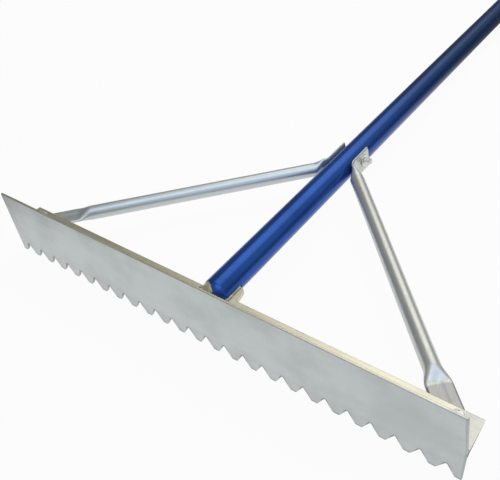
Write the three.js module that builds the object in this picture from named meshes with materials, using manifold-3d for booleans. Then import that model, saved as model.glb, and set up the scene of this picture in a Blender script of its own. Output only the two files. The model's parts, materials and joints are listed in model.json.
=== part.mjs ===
// An asphalt rake: a toothed T-section head, a long round handle welded over the head's
// flange, and two braces of flattened tube bolted between the handle and the head.
//
// Millimetres, +Z up. The blade faces -Y and the handle runs back along +Y. The tooth tips
// and the far end of the handle both stand on the floor, at Z = 0. The origin is the
// middle of the floor area that the rake covers.
import * as THREE from "three";
import { mergeVertices } from "three/addons/utils/BufferGeometryUtils.js";
import Module from "manifold-3d";

const wasm = await Module();
wasm.setup();

// General fits

const clearance = 0.3; // between any two pieces
const cutMargin = 2; // how far a cutter runs past what it cuts
const weldTolerance = 1e-4; // vertices closer than this are one vertex
const arcSteps = 3; // pieces that a small rounded corner is drawn with
const tubeSteps = 36; // pieces round a full turn of the handle and its cap
const smallSteps = 20; // pieces round a full turn of a bolt, nut, washer or hole

// Head: an extruded T bar with teeth punched in its lower edge

const headLength = 615.6;
const bladeHeight = 92.4;
const bladeThickness = 3;
const toothCount = 24; // whole pitches along the head, from its first tip to its last
const endLand = 3; // from the middle of the first and last tips to the head's ends
const toothDepth = 14.6;
const tipFlat = 7;
const tipRadius = 2.2;
const valleyFlat = 1.4;
const valleyRadius = 1;
const flangeTop = 41; // height of the flange's upper face above the tooth tips
const flangeThickness = 4.8;
const flangeDepth = 42.7; // from the blade's front face to the flange's rear edge
const flangeRootRadius = 5;
const headEdgeRadius = 1.1;
const rightEndSetback = 5; // of the right end's top corner, falling to 0 at the flange
const tabReach = 19; // of the tab that carries the handle behind the flange
const tabLeft = 20.5; // from the handle's axis to the tab's left side
const tabRight = 27.5; // and to its right side at the flange
const tabRearRight = 24.5; // and at the tab's rear
const tabCornerRadius = 5;

// Handle: a tube with a domed lower end, slotted over the flange and its tab

const handleDiameter = 34.9;
const handleWall = 2;
const handleLength = 1813.8; // from the dome's centre to the tube's far end
const domeCentreDepth = 42; // behind the blade's front face
const domeLength = 15;
const domeCentreHeight = 41.4;
const domeSteps = 6;
const tubeEndChamfer = 0.5;

// End cap: a pushed-in plug with a skirt round the outside of the tube

const capWall = 1.8;
const capSkirt = 24;
const capPlugLength = 30;
const capEdgeRadius = 1.5;
const capEndThickness = 3.5;

// Braces: round tube, pressed flat and drilled at both ends

const braceDiameter = 19.05;
const braceWall = 1.5;
const braceSlit = 0.3; // left open between the walls where the tube is pressed flat
const braceBoltInset = 21.8; // from the head's end to the bolt that holds the brace
const braceBoltDepth = 28.5; // from the blade's front face to the same bolt
const braceHandleDepth = 343; // from the blade's front face to the bolt through the handle
const headFlatLength = 44; // from the head bolt to the end of the flat
const headFlatEnd = 15; // from the head bolt to the tube's cut end
const headFlare = 20; // length over which the flat opens into the round tube
const handleFlatLength = 27; // from the handle bolt to the bend
const rightFlatEnd = 13; // from the handle bolt to the right brace's cut end
const leftFlatEnd = 18;
const handleFlare = 18;
const crossTilt = THREE.MathUtils.degToRad(10.5); // of the handle's bolt, right end up
const handleBendRadius = 12;
const pinchDepth = 0.55; // hollow pressed along the middle of each flat
const pinchWidth = 5;
const braceRingSteps = 24;
const flareSteps = 5;
const bendSteps = 5;

// Fasteners

const boltDiameter = 8;
const boltHeadFlats = 13;
const boltHeadHeight = 5.3;
const nutHeight = 5.5; // of the hexagon
const collarHeight = 2.5; // the round collar that locks each nut
const collarDiameter = 12;
const collarRadius = 1.2; // of the collar's rounded edge
const boltEnd = 1; // bolt showing past its nut
const boltEndChamfer = 0.9;
const washerDiameter = 17;
const washerThickness = 1.6;
const hexChamferAngle = THREE.MathUtils.degToRad(30);

// Welds round the handle's nose, above and below the flange

const upperBeadRadius = 2.8;
const upperBeadSwell = 5.7; // more metal on the left of the nose than along the rest
const lowerBeadRadius = 3.6;
const lowerBeadSwell = 1;
const beadLegMargin = 2; // the beads stop this far before the tab's rear edge
const ripplePitch = 4;
const rippleHeight = 0.45;
const beadRingSteps = 12;
const beadEndShare = 0.45; // of the bead's radius, left at its two ends

// Worked-out sizes

const toothPitch = (headLength - 2 * endLand) / toothCount;
const halfHead = headLength / 2;
const flangeBottom = flangeTop - flangeThickness;
const tabEnd = flangeDepth + tabReach;
const tubeRadius = handleDiameter / 2;
const boreRadius = tubeRadius - handleWall;
const capRadius = tubeRadius + clearance + capWall;
const boltRadius = boltDiameter / 2;
const holeRadius = boltRadius + clearance;
const flatThickness = 2 * braceWall + braceSlit;
// Pressing the tube flat keeps the length of its wall.
const flatWidth = (Math.PI * (braceDiameter - flatThickness)) / 2 + flatThickness;
const headBoltX = halfHead - braceBoltInset;

// The handle falls towards its far end by the angle that lets the cap's lower edge and the
// tooth tips stand on one floor.
const capReach = handleLength + clearance + capEndThickness;
const capArcReach = capReach - capEdgeRadius;
const capArcRadius = capRadius - capEdgeRadius;
const handleFall =
  Math.asin((domeCentreHeight - capEdgeRadius) / Math.hypot(capArcReach, capArcRadius)) -
  Math.atan2(capArcRadius, capArcReach);
const handleHeightAt = (y) => domeCentreHeight - (y - domeCentreDepth) * Math.tan(handleFall);
const farEnd =
  domeCentreDepth + capReach * Math.cos(handleFall) + capArcRadius * Math.sin(handleFall);

// Solids and meshes

/** Turns a closed geometry into a manifold-3d solid. */
function solid(geometry) {
  const loose = geometry.index ? geometry.toNonIndexed() : geometry;
  const bare = new THREE.BufferGeometry();
  bare.setAttribute("position", loose.getAttribute("position"));
  const merged = mergeVertices(bare, weldTolerance);
  const corners = merged.index.array;
  const kept = [];
  for (let i = 0; i < corners.length; i += 3) {
    const [a, b, c] = corners.subarray(i, i + 3);
    if (a !== b && b !== c && c !== a) kept.push(a, b, c);
  }
  return new wasm.Manifold(
    new wasm.Mesh({
      numProp: 3,
      vertProperties: merged.getAttribute("position").array,
      triVerts: new Uint32Array(kept),
    }),
  );
}

/** Makes a named mesh, with its own material, from a manifold-3d solid. */
function piece(name, body, { color, roughness, metalness }) {
  const mesh = body.getMesh();
  const indexed = new THREE.BufferGeometry();
  indexed.setAttribute("position", new THREE.BufferAttribute(mesh.vertProperties, 3));
  indexed.setIndex(new THREE.BufferAttribute(mesh.triVerts, 1));
  const geometry = indexed.toNonIndexed();
  geometry.computeVertexNormals();
  const material = new THREE.MeshStandardMaterial({ color, roughness, metalness });
  const made = new THREE.Mesh(geometry, material);
  made.name = name;
  return made;
}

/** Draws a closed outline through corners given as [x, y, radius]. */
function roundedShape(corners) {
  const shape = new THREE.Shape();
  const count = corners.length;
  const tangentShare = 0.49; // of the shorter side that a corner may use up
  corners.forEach(([x, y, radius], i) => {
    const corner = new THREE.Vector2(x, y);
    const [beforeX, beforeY] = corners[(i + count - 1) % count];
    const [afterX, afterY] = corners[(i + 1) % count];
    const back = new THREE.Vector2(beforeX, beforeY).sub(corner);
    const ahead = new THREE.Vector2(afterX, afterY).sub(corner);
    const shortest = Math.min(back.length(), ahead.length());
    back.normalize();
    ahead.normalize();
    const half = Math.acos(THREE.MathUtils.clamp(back.dot(ahead), -1, 1)) / 2;
    const tangent = Math.min(radius / Math.tan(half), tangentShare * shortest);
    const start = corner.clone().addScaledVector(back, tangent);
    const end = corner.clone().addScaledVector(ahead, tangent);
    if (i === 0) shape.moveTo(start.x, start.y);
    else shape.lineTo(start.x, start.y);
    if (radius <= 0) return;
    const used = tangent * Math.tan(half);
    const middle = back.clone().add(ahead).normalize();
    const centre = corner.clone().addScaledVector(middle, used / Math.sin(half));
    const from = Math.atan2(start.y - centre.y, start.x - centre.x);
    const to = Math.atan2(end.y - centre.y, end.x - centre.x);
    shape.absarc(centre.x, centre.y, used, from, to, back.cross(ahead) > 0);
  });
  shape.closePath();
  return shape;
}

/** Extrudes a shape along its own normal. */
function prism(shape, depth) {
  return new THREE.ExtrudeGeometry(shape, {
    depth,
    bevelEnabled: false,
    curveSegments: arcSteps,
  });
}

const alongX = new THREE.Matrix4().makeBasis(
  new THREE.Vector3(0, 1, 0),
  new THREE.Vector3(0, 0, 1),
  new THREE.Vector3(1, 0, 0),
); // a shape drawn in (y, z), extruded towards +X
const alongY = new THREE.Matrix4().makeBasis(
  new THREE.Vector3(0, 0, 1),
  new THREE.Vector3(1, 0, 0),
  new THREE.Vector3(0, 1, 0),
); // a shape drawn in (z, x), extruded towards +Y

/** Turns a closed profile of [radius, height] points about Z. */
function turned(profile, steps = smallSteps) {
  const points = profile.map(([radius, height]) => new THREE.Vector2(radius, height));
  return new THREE.LatheGeometry(points, steps).rotateX(Math.PI / 2);
}

/** Makes a plain round pin along Z, from one height to another. */
function pin(radius, from, to) {
  return turned([[0, from], [radius, from], [radius, to], [0, to]]);
}

/** Skins a row of rings with the same number of points, and closes both ends. */
function loft(rings) {
  const around = rings[0].length;
  const positions = [];
  const triangle = (a, b, c) => positions.push(...a.toArray(), ...b.toArray(), ...c.toArray());
  for (let r = 0; r + 1 < rings.length; r++) {
    for (let i = 0; i < around; i++) {
      const j = (i + 1) % around;
      triangle(rings[r][i], rings[r][j], rings[r + 1][j]);
      triangle(rings[r][i], rings[r + 1][j], rings[r + 1][i]);
    }
  }
  const middle = (ring) =>
    ring.reduce((sum, p) => sum.add(p), new THREE.Vector3()).divideScalar(around);
  const first = rings[0];
  const last = rings[rings.length - 1];
  const firstMiddle = middle(first);
  const lastMiddle = middle(last);
  for (let i = 0; i < around; i++) {
    const j = (i + 1) % around;
    triangle(firstMiddle, first[j], first[i]);
    triangle(lastMiddle, last[i], last[j]);
  }
  const geometry = new THREE.BufferGeometry();
  geometry.setAttribute("position", new THREE.Float32BufferAttribute(positions, 3));
  return geometry;
}

// Head

/** Draws the T bar's section in (y, z), running past the tips for the teeth to be cut. */
function barSection() {
  const rear = bladeThickness;
  const edge = headEdgeRadius;
  const root = flangeRootRadius;
  return roundedShape([
    [0, -cutMargin, 0],
    [rear, -cutMargin, 0],
    [rear, flangeBottom, root],
    [flangeDepth, flangeBottom, edge],
    [flangeDepth, flangeTop, edge],
    [rear, flangeTop, root],
    [rear, bladeHeight, edge],
    [0, bladeHeight, edge],
  ]);
}

/** Draws in (z, x) what the punch takes away under and between the teeth. */
function toothGaps() {
  const low = -2 * cutMargin;
  const corners = [
    [low, -halfHead - cutMargin, 0],
    [0, -halfHead - cutMargin, 0],
  ];
  for (let gap = 0; gap < toothCount; gap++) {
    const middle = -halfHead + endLand + (gap + 1 / 2) * toothPitch;
    corners.push(
      [0, middle - toothPitch / 2 + tipFlat / 2, tipRadius],
      [toothDepth, middle - valleyFlat / 2, valleyRadius],
      [toothDepth, middle + valleyFlat / 2, valleyRadius],
      [0, middle + toothPitch / 2 - tipFlat / 2, tipRadius],
    );
  }
  corners.push([0, halfHead + cutMargin, 0], [low, halfHead + cutMargin, 0]);
  return roundedShape(corners.reverse());
}

/** Makes the cutter that slants the blade's right end above the flange. */
function rightEndCut() {
  const beyond = halfHead + cutMargin;
  const above = bladeHeight + cutMargin;
  const outline = roundedShape([
    [flangeTop, halfHead, 0],
    [bladeHeight, halfHead - rightEndSetback, 0],
    [above, halfHead - rightEndSetback, 0],
    [above, beyond, 0],
    [flangeTop, beyond, 0],
  ]);
  return prism(outline, bladeThickness + flangeRootRadius + 2 * cutMargin)
    .applyMatrix4(alongY)
    .translate(0, -cutMargin, 0);
}

function headBody() {
  const bar = prism(barSection(), headLength).applyMatrix4(alongX).translate(-halfHead, 0, 0);
  const punch = prism(toothGaps(), bladeThickness + 2 * cutMargin)
    .applyMatrix4(alongY)
    .translate(0, -cutMargin, 0);
  const tabFront = flangeDepth - tabReach / 2;
  const tab = prism(
    roundedShape([
      [-tabLeft, tabFront, 0],
      [tabRight, tabFront, 0],
      [tabRight, flangeDepth, 0],
      [tabRearRight, tabEnd, tabCornerRadius],
      [-tabLeft, tabEnd, tabCornerRadius],
    ]),
    flangeThickness,
  ).translate(0, 0, flangeBottom);
  let head = solid(bar)
    .subtract(solid(punch))
    .subtract(solid(rightEndCut()))
    .add(solid(tab));
  for (const side of [-1, 1]) {
    const hole = pin(holeRadius, flangeBottom - cutMargin, flangeTop + cutMargin);
    head = head.subtract(solid(hole.translate(side * headBoltX, braceBoltDepth, 0)));
  }
  return head;
}

// Handle

/** Moves a geometry built along Z from the dome's centre onto the handle's axis. */
function ontoHandle(geometry) {
  return geometry
    .rotateX(-Math.PI / 2 - handleFall)
    .translate(0, domeCentreDepth, domeCentreHeight);
}

/** Makes the cutter of the hole across the handle, reaching equally far both ways. */
function crossHole(reach) {
  return pin(holeRadius, -reach, reach)
    .rotateY(Math.PI / 2 - crossTilt)
    .translate(0, braceHandleDepth, handleHeightAt(braceHandleDepth));
}

/** Gives the quarter ellipse of a dome, from its tip to its rim, as [radius, height]. */
function domeArc(radius, length) {
  const steps = domeSteps;
  return Array.from({ length: steps + 1 }, (_, i) => {
    const turn = (i / steps) * (Math.PI / 2);
    return [i === 0 ? 0 : radius * Math.sin(turn), i === steps ? 0 : -length * Math.cos(turn)];
  });
}

/** Makes the handle's outside as a solid, grown by an extra amount. */
function handleCore(grow) {
  const profile = [
    ...domeArc(tubeRadius + grow, domeLength + grow),
    [tubeRadius + grow, handleLength],
    [0, handleLength],
  ];
  return ontoHandle(turned(profile, tubeSteps));
}

function handleBody() {
  const profile = [
    ...domeArc(tubeRadius, domeLength),
    [tubeRadius, handleLength - tubeEndChamfer],
    [tubeRadius - tubeEndChamfer, handleLength],
    [boreRadius, handleLength],
    ...domeArc(boreRadius, domeLength - handleWall).reverse(),
  ];
  const tube = ontoHandle(turned(profile, tubeSteps));
  const slotTop = flangeTop + clearance;
  const slotBottom = flangeBottom - clearance;
  const slotEndRadius = (slotTop - slotBottom) / 2;
  const slotEnd = tabEnd + clearance + slotEndRadius;
  const slot = prism(
    roundedShape([
      [domeCentreDepth - domeLength - cutMargin, slotBottom, 0],
      [slotEnd, slotBottom, slotEndRadius],
      [slotEnd, slotTop, slotEndRadius],
      [domeCentreDepth - domeLength - cutMargin, slotTop, 0],
    ]),
    handleDiameter + 2 * cutMargin,
  )
    .applyMatrix4(alongX)
    .translate(-tubeRadius - cutMargin, 0, 0);
  const reach = tubeRadius + cutMargin;
  return solid(tube).subtract(solid(slot)).subtract(solid(crossHole(reach)));
}

function capBody() {
  const inner = handleLength + clearance;
  const skirtEnd = handleLength - capSkirt;
  const plugEnd = handleLength - capPlugLength;
  const plugRadius = boreRadius - clearance;
  const rim = Array.from({ length: arcSteps + 1 }, (_, i) => {
    const turn = (i / arcSteps) * (Math.PI / 2);
    return [
      capArcRadius + capEdgeRadius * Math.cos(turn),
      capArcReach + capEdgeRadius * Math.sin(turn),
    ];
  });
  const profile = [
    [0, plugEnd],
    [plugRadius - capEdgeRadius, plugEnd],
    [plugRadius, plugEnd + capEdgeRadius],
    [plugRadius, inner],
    [tubeRadius + clearance, inner],
    [tubeRadius + clearance, skirtEnd],
    [capRadius, skirtEnd],
    ...rim,
    [0, capReach],
  ];
  return solid(ontoHandle(turned(profile, tubeSteps)));
}

// Welds

/**
 * Lays a rippled bead round the handle's nose on one face of the flange.
 * side is 1 above the flange and -1 below it. swell is the radius gained where the bead is
 * fullest, half way round the left side of the nose.
 */
function beadBody(side, beadRadius, swell) {
  const face = side > 0 ? flangeTop : flangeBottom;
  const rise = face - domeCentreHeight;
  const shrink = Math.sqrt(1 - (rise / tubeRadius) ** 2);
  const halfWidth = tubeRadius * shrink;
  const front = domeLength * shrink;
  const legEnd = tabEnd - beadLegMargin;
  const legLength = legEnd - domeCentreDepth;
  const legSteps = Math.ceil((2 * legLength) / ripplePitch);
  const noseSteps = Math.ceil((2 * Math.PI * halfWidth) / ripplePitch);
  const route = [];
  for (let i = 0; i < legSteps; i++) {
    route.push([halfWidth, legEnd - (i / legSteps) * legLength, beadRadius]);
  }
  for (let i = 0; i <= noseSteps; i++) {
    const turn = (i / noseSteps) * Math.PI;
    const radius = beadRadius + swell * Math.max(0, -Math.sin(2 * turn));
    route.push([halfWidth * Math.cos(turn), domeCentreDepth - front * Math.sin(turn), radius]);
  }
  for (let i = 1; i <= legSteps; i++) {
    route.push([-halfWidth, domeCentreDepth + (i / legSteps) * legLength, beadRadius]);
  }
  let travelled = 0;
  const rings = route.map(([x, y, fullRadius], i) => {
    const [lastX, lastY] = route[Math.max(i - 1, 0)];
    const [nextX, nextY] = route[Math.min(i + 1, route.length - 1)];
    travelled += Math.hypot(x - lastX, y - lastY);
    const heading = Math.atan2(nextY - lastY, nextX - lastX);
    const atEnd = i === 0 || i === route.length - 1;
    const ripple = rippleHeight * Math.abs(Math.sin((Math.PI * travelled) / ripplePitch));
    const radius = atEnd ? beadEndShare * fullRadius : fullRadius - ripple;
    return Array.from({ length: beadRingSteps }, (_, k) => {
      const turn = (k / beadRingSteps) * 2 * Math.PI;
      const out = radius * Math.cos(turn);
      return new THREE.Vector3(
        x - out * Math.sin(heading),
        y + out * Math.cos(heading),
        face + radius * Math.sin(turn),
      );
    });
  });
  const fullestRadius = beadRadius + swell;
  const slabWidth = handleDiameter + 4 * fullestRadius;
  const slabLength = tabEnd + fullestRadius;
  const slabHeight = fullestRadius + cutMargin;
  const slab = new THREE.BoxGeometry(slabWidth, slabLength, slabHeight).translate(
    0,
    slabLength / 2,
    face + side * (slabHeight / 2 + clearance),
  );
  return solid(loft(rings)).intersect(solid(slab)).subtract(solid(handleCore(clearance)));
}

// Braces

/** Eases from 0 to 1 as a value goes from one end of a span to the other. */
const ease = (value, from, to) => THREE.MathUtils.smoothstep(value, from, to);

/**
 * Lists the stations of a brace from its end on the head to its end on the handle.
 * Each has a place, a heading in plan, and how flat the tube is there: level is 1 where it
 * lies flat under the flange, and upright is 1 where it stands flat against the handle.
 */
function braceStations(side) {
  const headZ = flangeBottom - clearance - flatThickness / 2;
  const plateReach = tubeRadius + clearance + flatThickness / 2;
  const plateX = plateReach * Math.cos(crossTilt);
  const plateRise = side * plateReach * Math.sin(crossTilt);
  const handleZ = handleHeightAt(braceHandleDepth) + plateRise;
  const head = new THREE.Vector2(headBoltX, braceBoltDepth);
  const corner = new THREE.Vector2(plateX, braceHandleDepth - handleFlatLength);
  const run = head.distanceTo(corner);
  const direction = corner.clone().sub(head).normalize();
  const lean = Math.atan2(direction.y, direction.x);
  const bend = lean - Math.PI / 2;
  const tangent = handleBendRadius * Math.tan(bend / 2);
  const stations = [];
  const onRun = (distance) => {
    const place = head.clone().addScaledVector(direction, distance);
    const level = 1 - ease(distance, headFlatLength, headFlatLength + headFlare);
    const upright = ease(distance, run - tangent - handleFlare, run - tangent);
    const rise = ease(distance, headFlatLength, run - tangent);
    stations.push({ place, heading: lean, level, upright, rise });
  };
  onRun(-headFlatEnd);
  onRun(0);
  for (let i = 0; i <= flareSteps; i++) {
    onRun(headFlatLength + (i / flareSteps) * headFlare);
  }
  for (let i = 0; i <= flareSteps; i++) {
    onRun(run - tangent - handleFlare + (i / flareSteps) * handleFlare);
  }
  const bendStart = head.clone().addScaledVector(direction, run - tangent);
  for (let i = 1; i <= bendSteps; i++) {
    const swing = (i / bendSteps) * bend;
    const chord = 2 * handleBendRadius * Math.sin(swing / 2);
    const toward = lean - swing / 2;
    const place = new THREE.Vector2(
      bendStart.x + chord * Math.cos(toward),
      bendStart.y + chord * Math.sin(toward),
    );
    stations.push({ place, heading: lean - swing, level: 0, upright: 1, rise: 1 });
  }
  const flatEnd = side > 0 ? rightFlatEnd : leftFlatEnd;
  for (const y of [braceHandleDepth, braceHandleDepth + flatEnd]) {
    const place = new THREE.Vector2(plateX, y);
    stations.push({ place, heading: Math.PI / 2, level: 0, upright: 1, rise: 1 });
  }
  return stations.map((s) => ({ ...s, z: headZ + (handleZ - headZ) * s.rise }));
}

/**
 * Draws one ring of a brace.
 * inset is 0 for the outside and the wall's thickness for the bore, and side mirrors it.
 */
function braceRing(station, inset, side) {
  const { place, heading, level, upright, z } = station;
  const round = braceDiameter / 2 - inset;
  const wide = flatWidth / 2 - inset;
  const thin = flatThickness / 2 - inset;
  const across = round + (wide - round) * level + (thin - round) * upright;
  const high = round + (thin - round) * level + (wide - round) * upright;
  const flatness = Math.max(level, upright);
  const squareness = 2 + 3 * flatness; // 2 draws an ellipse, and more squares its sides
  const tilt = side * crossTilt * upright;
  return Array.from({ length: braceRingSteps }, (_, k) => {
    const turn = side * (k / braceRingSteps) * 2 * Math.PI;
    const c = Math.cos(turn);
    const s = Math.sin(turn);
    let out = across * Math.sign(c) * Math.abs(c) ** (2 / squareness);
    let up = high * Math.sign(s) * Math.abs(s) ** (2 / squareness);
    const press = inset > 0 ? 0 : pinchDepth;
    if (level > upright) up -= Math.sign(s) * press * level * Math.exp(-((out / pinchWidth) ** 2));
    else out -= Math.sign(c) * press * upright * Math.exp(-((up / pinchWidth) ** 2));
    const inward = out * Math.cos(tilt) + up * Math.sin(tilt);
    return new THREE.Vector3(
      side * (place.x - inward * Math.sin(heading)),
      place.y + inward * Math.cos(heading),
      z + up * Math.cos(tilt) - out * Math.sin(tilt),
    );
  });
}

/** Carries the first and last stations on, so that the bore opens at both cut ends. */
function openEnds(stations) {
  const first = stations[0];
  const last = stations[stations.length - 1];
  const moved = (s, distance) => ({
    ...s,
    place: new THREE.Vector2(
      s.place.x + distance * Math.cos(s.heading),
      s.place.y + distance * Math.sin(s.heading),
    ),
  });
  return [moved(first, -cutMargin), ...stations, moved(last, cutMargin)];
}

function braceBody(side) {
  const stations = braceStations(side);
  const skin = loft(stations.map((s) => braceRing(s, 0, side)));
  const bore = loft(openEnds(stations).map((s) => braceRing(s, braceWall, side)));
  const headHole = pin(holeRadius, 0, flangeTop).translate(side * headBoltX, braceBoltDepth, 0);
  const reach = tubeRadius + flatThickness + cutMargin;
  return solid(skin)
    .subtract(solid(bore))
    .subtract(solid(headHole))
    .subtract(solid(crossHole(reach)));
}

// Fasteners, each built along Z and then set in place

/** Makes a hexagon with its corners turned off at one or both ends. */
function hexagon(height, bothEnds) {
  const flatRadius = boltHeadFlats / 2;
  const cornerRadius = flatRadius / Math.cos(Math.PI / 6);
  const drop = (cornerRadius - flatRadius) * Math.tan(hexChamferAngle);
  const block = new THREE.CylinderGeometry(cornerRadius, cornerRadius, height, 6)
    .rotateX(Math.PI / 2)
    .translate(0, 0, height / 2);
  const barrel = turned([
    [0, 0],
    bothEnds ? [flatRadius, 0] : [cornerRadius + cutMargin, 0],
    ...(bothEnds ? [[cornerRadius, drop]] : [[cornerRadius + cutMargin, height - drop]]),
    [cornerRadius, height - drop],
    [flatRadius, height],
    [0, height],
  ]);
  return solid(block).intersect(solid(barrel));
}

/** Makes a bolt whose head stands on Z = 0 and whose shank hangs below it. */
function boltSolid(shankLength) {
  const tip = boltRadius - boltEndChamfer;
  const shank = turned([
    [0, -shankLength],
    [tip, -shankLength],
    [boltRadius, -shankLength + boltEndChamfer],
    [boltRadius, boltHeadHeight / 2],
    [0, boltHeadHeight / 2],
  ]);
  return hexagon(boltHeadHeight, false).add(solid(shank));
}

/** Makes a lock nut: a hexagon with a round collar on top. */
function nutSolid() {
  const top = nutHeight + collarHeight;
  const rim = collarDiameter / 2;
  const shoulder = Array.from({ length: arcSteps + 1 }, (_, i) => {
    const turn = (i / arcSteps) * (Math.PI / 2);
    return [
      rim - collarRadius + collarRadius * Math.cos(turn),
      top - collarRadius + collarRadius * Math.sin(turn),
    ];
  });
  const collar = turned([[0, nutHeight / 2], [rim, nutHeight / 2], ...shoulder, [0, top]]);
  return hexagon(nutHeight, true)
    .add(solid(collar))
    .subtract(solid(pin(holeRadius, -cutMargin, top + cutMargin)));
}

function washerSolid() {
  return solid(
    turned([
      [holeRadius, 0],
      [washerDiameter / 2, 0],
      [washerDiameter / 2, washerThickness],
      [holeRadius, washerThickness],
      [holeRadius, 0],
    ]),
  );
}

/** Sets a fastener in place: its +Z is turned to an axis and its base put at a point. */
function seat(body, axis, point) {
  const turn = new THREE.Quaternion().setFromUnitVectors(new THREE.Vector3(0, 0, 1), axis);
  const matrix = new THREE.Matrix4().compose(point, turn, new THREE.Vector3(1, 1, 1));
  return body.transform(matrix.elements);
}

// Finishes

const finishes = {
  millAluminium: { color: 0xb3b9ba, roughness: 0.5, metalness: 0.75 },
  bluePowderCoat: { color: 0x1f3f87, roughness: 0.35, metalness: 0.1 },
  galvanisedSteel: { color: 0xb0b3aa, roughness: 0.4, metalness: 0.85 },
  zincPlate: { color: 0xc6c8c4, roughness: 0.35, metalness: 0.9 },
  weldMetal: { color: 0xb5ad95, roughness: 0.55, metalness: 0.7 },
  blackPlastic: { color: 0x1b1c1e, roughness: 0.6, metalness: 0 },
};

// Assembly

const up = new THREE.Vector3(0, 0, 1);
const down = new THREE.Vector3(0, 0, -1);
const assembly = new THREE.Group();
assembly.name = "rake_assembly";
const { millAluminium, bluePowderCoat, galvanisedSteel } = finishes;
const { zincPlate, weldMetal, blackPlastic } = finishes;

assembly.add(
  piece("rake_head", headBody(), millAluminium),
  piece("handle_tube", handleBody(), bluePowderCoat),
  piece("handle_end_cap", capBody(), blackPlastic),
  piece("handle_weld_upper", beadBody(1, upperBeadRadius, upperBeadSwell), weldMetal),
  piece("handle_weld_lower", beadBody(-1, lowerBeadRadius, lowerBeadSwell), weldMetal),
);

// The bolt stack at each brace's end on the head, from the top down.
const headWasherBase = flangeTop + clearance;
const headBoltBase = headWasherBase + washerThickness + clearance;
const lowerWasherTop = flangeBottom - clearance - flatThickness - clearance;
const headNutTop = lowerWasherTop - washerThickness - clearance;
const headShank = headBoltBase - headNutTop + nutHeight + collarHeight + boltEnd;
for (const [label, side] of [["left", -1], ["right", 1]]) {
  const at = (z) => new THREE.Vector3(side * headBoltX, braceBoltDepth, z);
  assembly.add(
    piece("brace_" + label, braceBody(side), galvanisedSteel),
    piece("head_bolt_" + label, seat(boltSolid(headShank), up, at(headBoltBase)), zincPlate),
    piece("head_washer_top_" + label, seat(washerSolid(), up, at(headWasherBase)), zincPlate),
    piece("head_washer_low_" + label, seat(washerSolid(), down, at(lowerWasherTop)), zincPlate),
    piece("head_nut_" + label, seat(nutSolid(), down, at(headNutTop)), zincPlate),
  );
}

// The bolt stack through the handle, from its middle outwards: head left and nut right.
const crossWasherBase = tubeRadius + clearance + flatThickness + clearance;
const crossSeat = crossWasherBase + washerThickness + clearance;
const crossShank = 2 * crossSeat + nutHeight + collarHeight + boltEnd;
const right = new THREE.Vector3(Math.cos(crossTilt), 0, Math.sin(crossTilt));
const left = right.clone().negate();
const crossMiddle = new THREE.Vector3(0, braceHandleDepth, handleHeightAt(braceHandleDepth));
const acrossHandle = (reach) => crossMiddle.clone().addScaledVector(right, reach);
assembly.add(
  piece("cross_bolt", seat(boltSolid(crossShank), left, acrossHandle(-crossSeat)), zincPlate),
  piece(
    "cross_washer_left",
    seat(washerSolid(), left, acrossHandle(-crossWasherBase)),
    zincPlate,
  ),
  piece(
    "cross_washer_right",
    seat(washerSolid(), right, acrossHandle(crossWasherBase)),
    zincPlate,
  ),
  piece("cross_nut", seat(nutSolid(), right, acrossHandle(crossSeat)), zincPlate),
);

// The blade's front face is at Y = 0 above, so the whole rake moves forward by half its
// length on the floor to bring the middle of its floor area to the origin.
assembly.position.y = -farEnd / 2;
const rake = new THREE.Group();
rake.name = "asphalt_rake";
rake.add(assembly);

export default rake;
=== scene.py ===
"""The looks of an asphalt rake: toothed T-bar head, long round handle and two tube braces.

Lengths are metres in the row frame: +X runs along the blade, +Y from the blade along the
handle, and the tooth tips stand on Z = 0.
"""

from __future__ import annotations

import json
import logging
import math
from collections.abc import Callable, Iterator, Mapping, Sequence
from contextlib import contextmanager
from dataclasses import dataclass, field
from enum import Enum

import bmesh
import bpy
from mathutils import Euler, Matrix, Vector

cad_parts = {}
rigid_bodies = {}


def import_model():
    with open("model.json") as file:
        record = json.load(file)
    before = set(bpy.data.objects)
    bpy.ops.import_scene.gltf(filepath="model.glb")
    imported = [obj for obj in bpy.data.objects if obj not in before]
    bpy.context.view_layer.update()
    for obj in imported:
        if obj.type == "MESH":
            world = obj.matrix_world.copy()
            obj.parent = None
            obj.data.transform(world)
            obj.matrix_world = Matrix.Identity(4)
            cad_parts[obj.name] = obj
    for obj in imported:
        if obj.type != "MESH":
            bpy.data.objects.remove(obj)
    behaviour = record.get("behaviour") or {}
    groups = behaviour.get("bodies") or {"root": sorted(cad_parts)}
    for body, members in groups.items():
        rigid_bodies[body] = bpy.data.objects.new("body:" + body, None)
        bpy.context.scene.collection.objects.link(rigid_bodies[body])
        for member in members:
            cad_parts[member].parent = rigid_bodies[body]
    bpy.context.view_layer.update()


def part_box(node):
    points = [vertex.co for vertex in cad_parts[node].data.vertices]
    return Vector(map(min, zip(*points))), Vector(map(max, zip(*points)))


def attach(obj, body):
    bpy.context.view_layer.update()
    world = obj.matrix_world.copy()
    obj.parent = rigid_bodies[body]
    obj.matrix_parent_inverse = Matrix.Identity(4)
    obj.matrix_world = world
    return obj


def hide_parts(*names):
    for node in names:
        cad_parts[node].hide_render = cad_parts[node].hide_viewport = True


log = logging.getLogger("asphalt_rake")

MM = 0.001
BODY = "root"
TOUCH = 0.02 * MM
"""Two places nearer than this are the same."""
FACING = 0.9
"""A direction's share along an axis, past which it counts as facing that way."""
DOUBLED = 0.002 * MM
"""Vertices nearer than this are one, on any piece."""
WELDED = 0.01 * MM
"""Vertices nearer than this are one, after the teeth are punched."""
QUARTER = math.pi / 2

DULL_METAL = (0.5, 0.53, 0.53)
RUBBED_BLUE = (0.05, 0.12, 0.42)
DARK_ZINC = (0.6, 0.62, 0.58)
TARNISH = (0.6, 0.58, 0.5)
DIM_STUDIO = (0.1, 0.1, 0.095)

Test = Callable[[Vector, Vector], bool]
Triple = tuple[float, float, float]
Profile = list[tuple[float, float]]
Route = list[tuple[Vector, float, float]]


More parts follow.
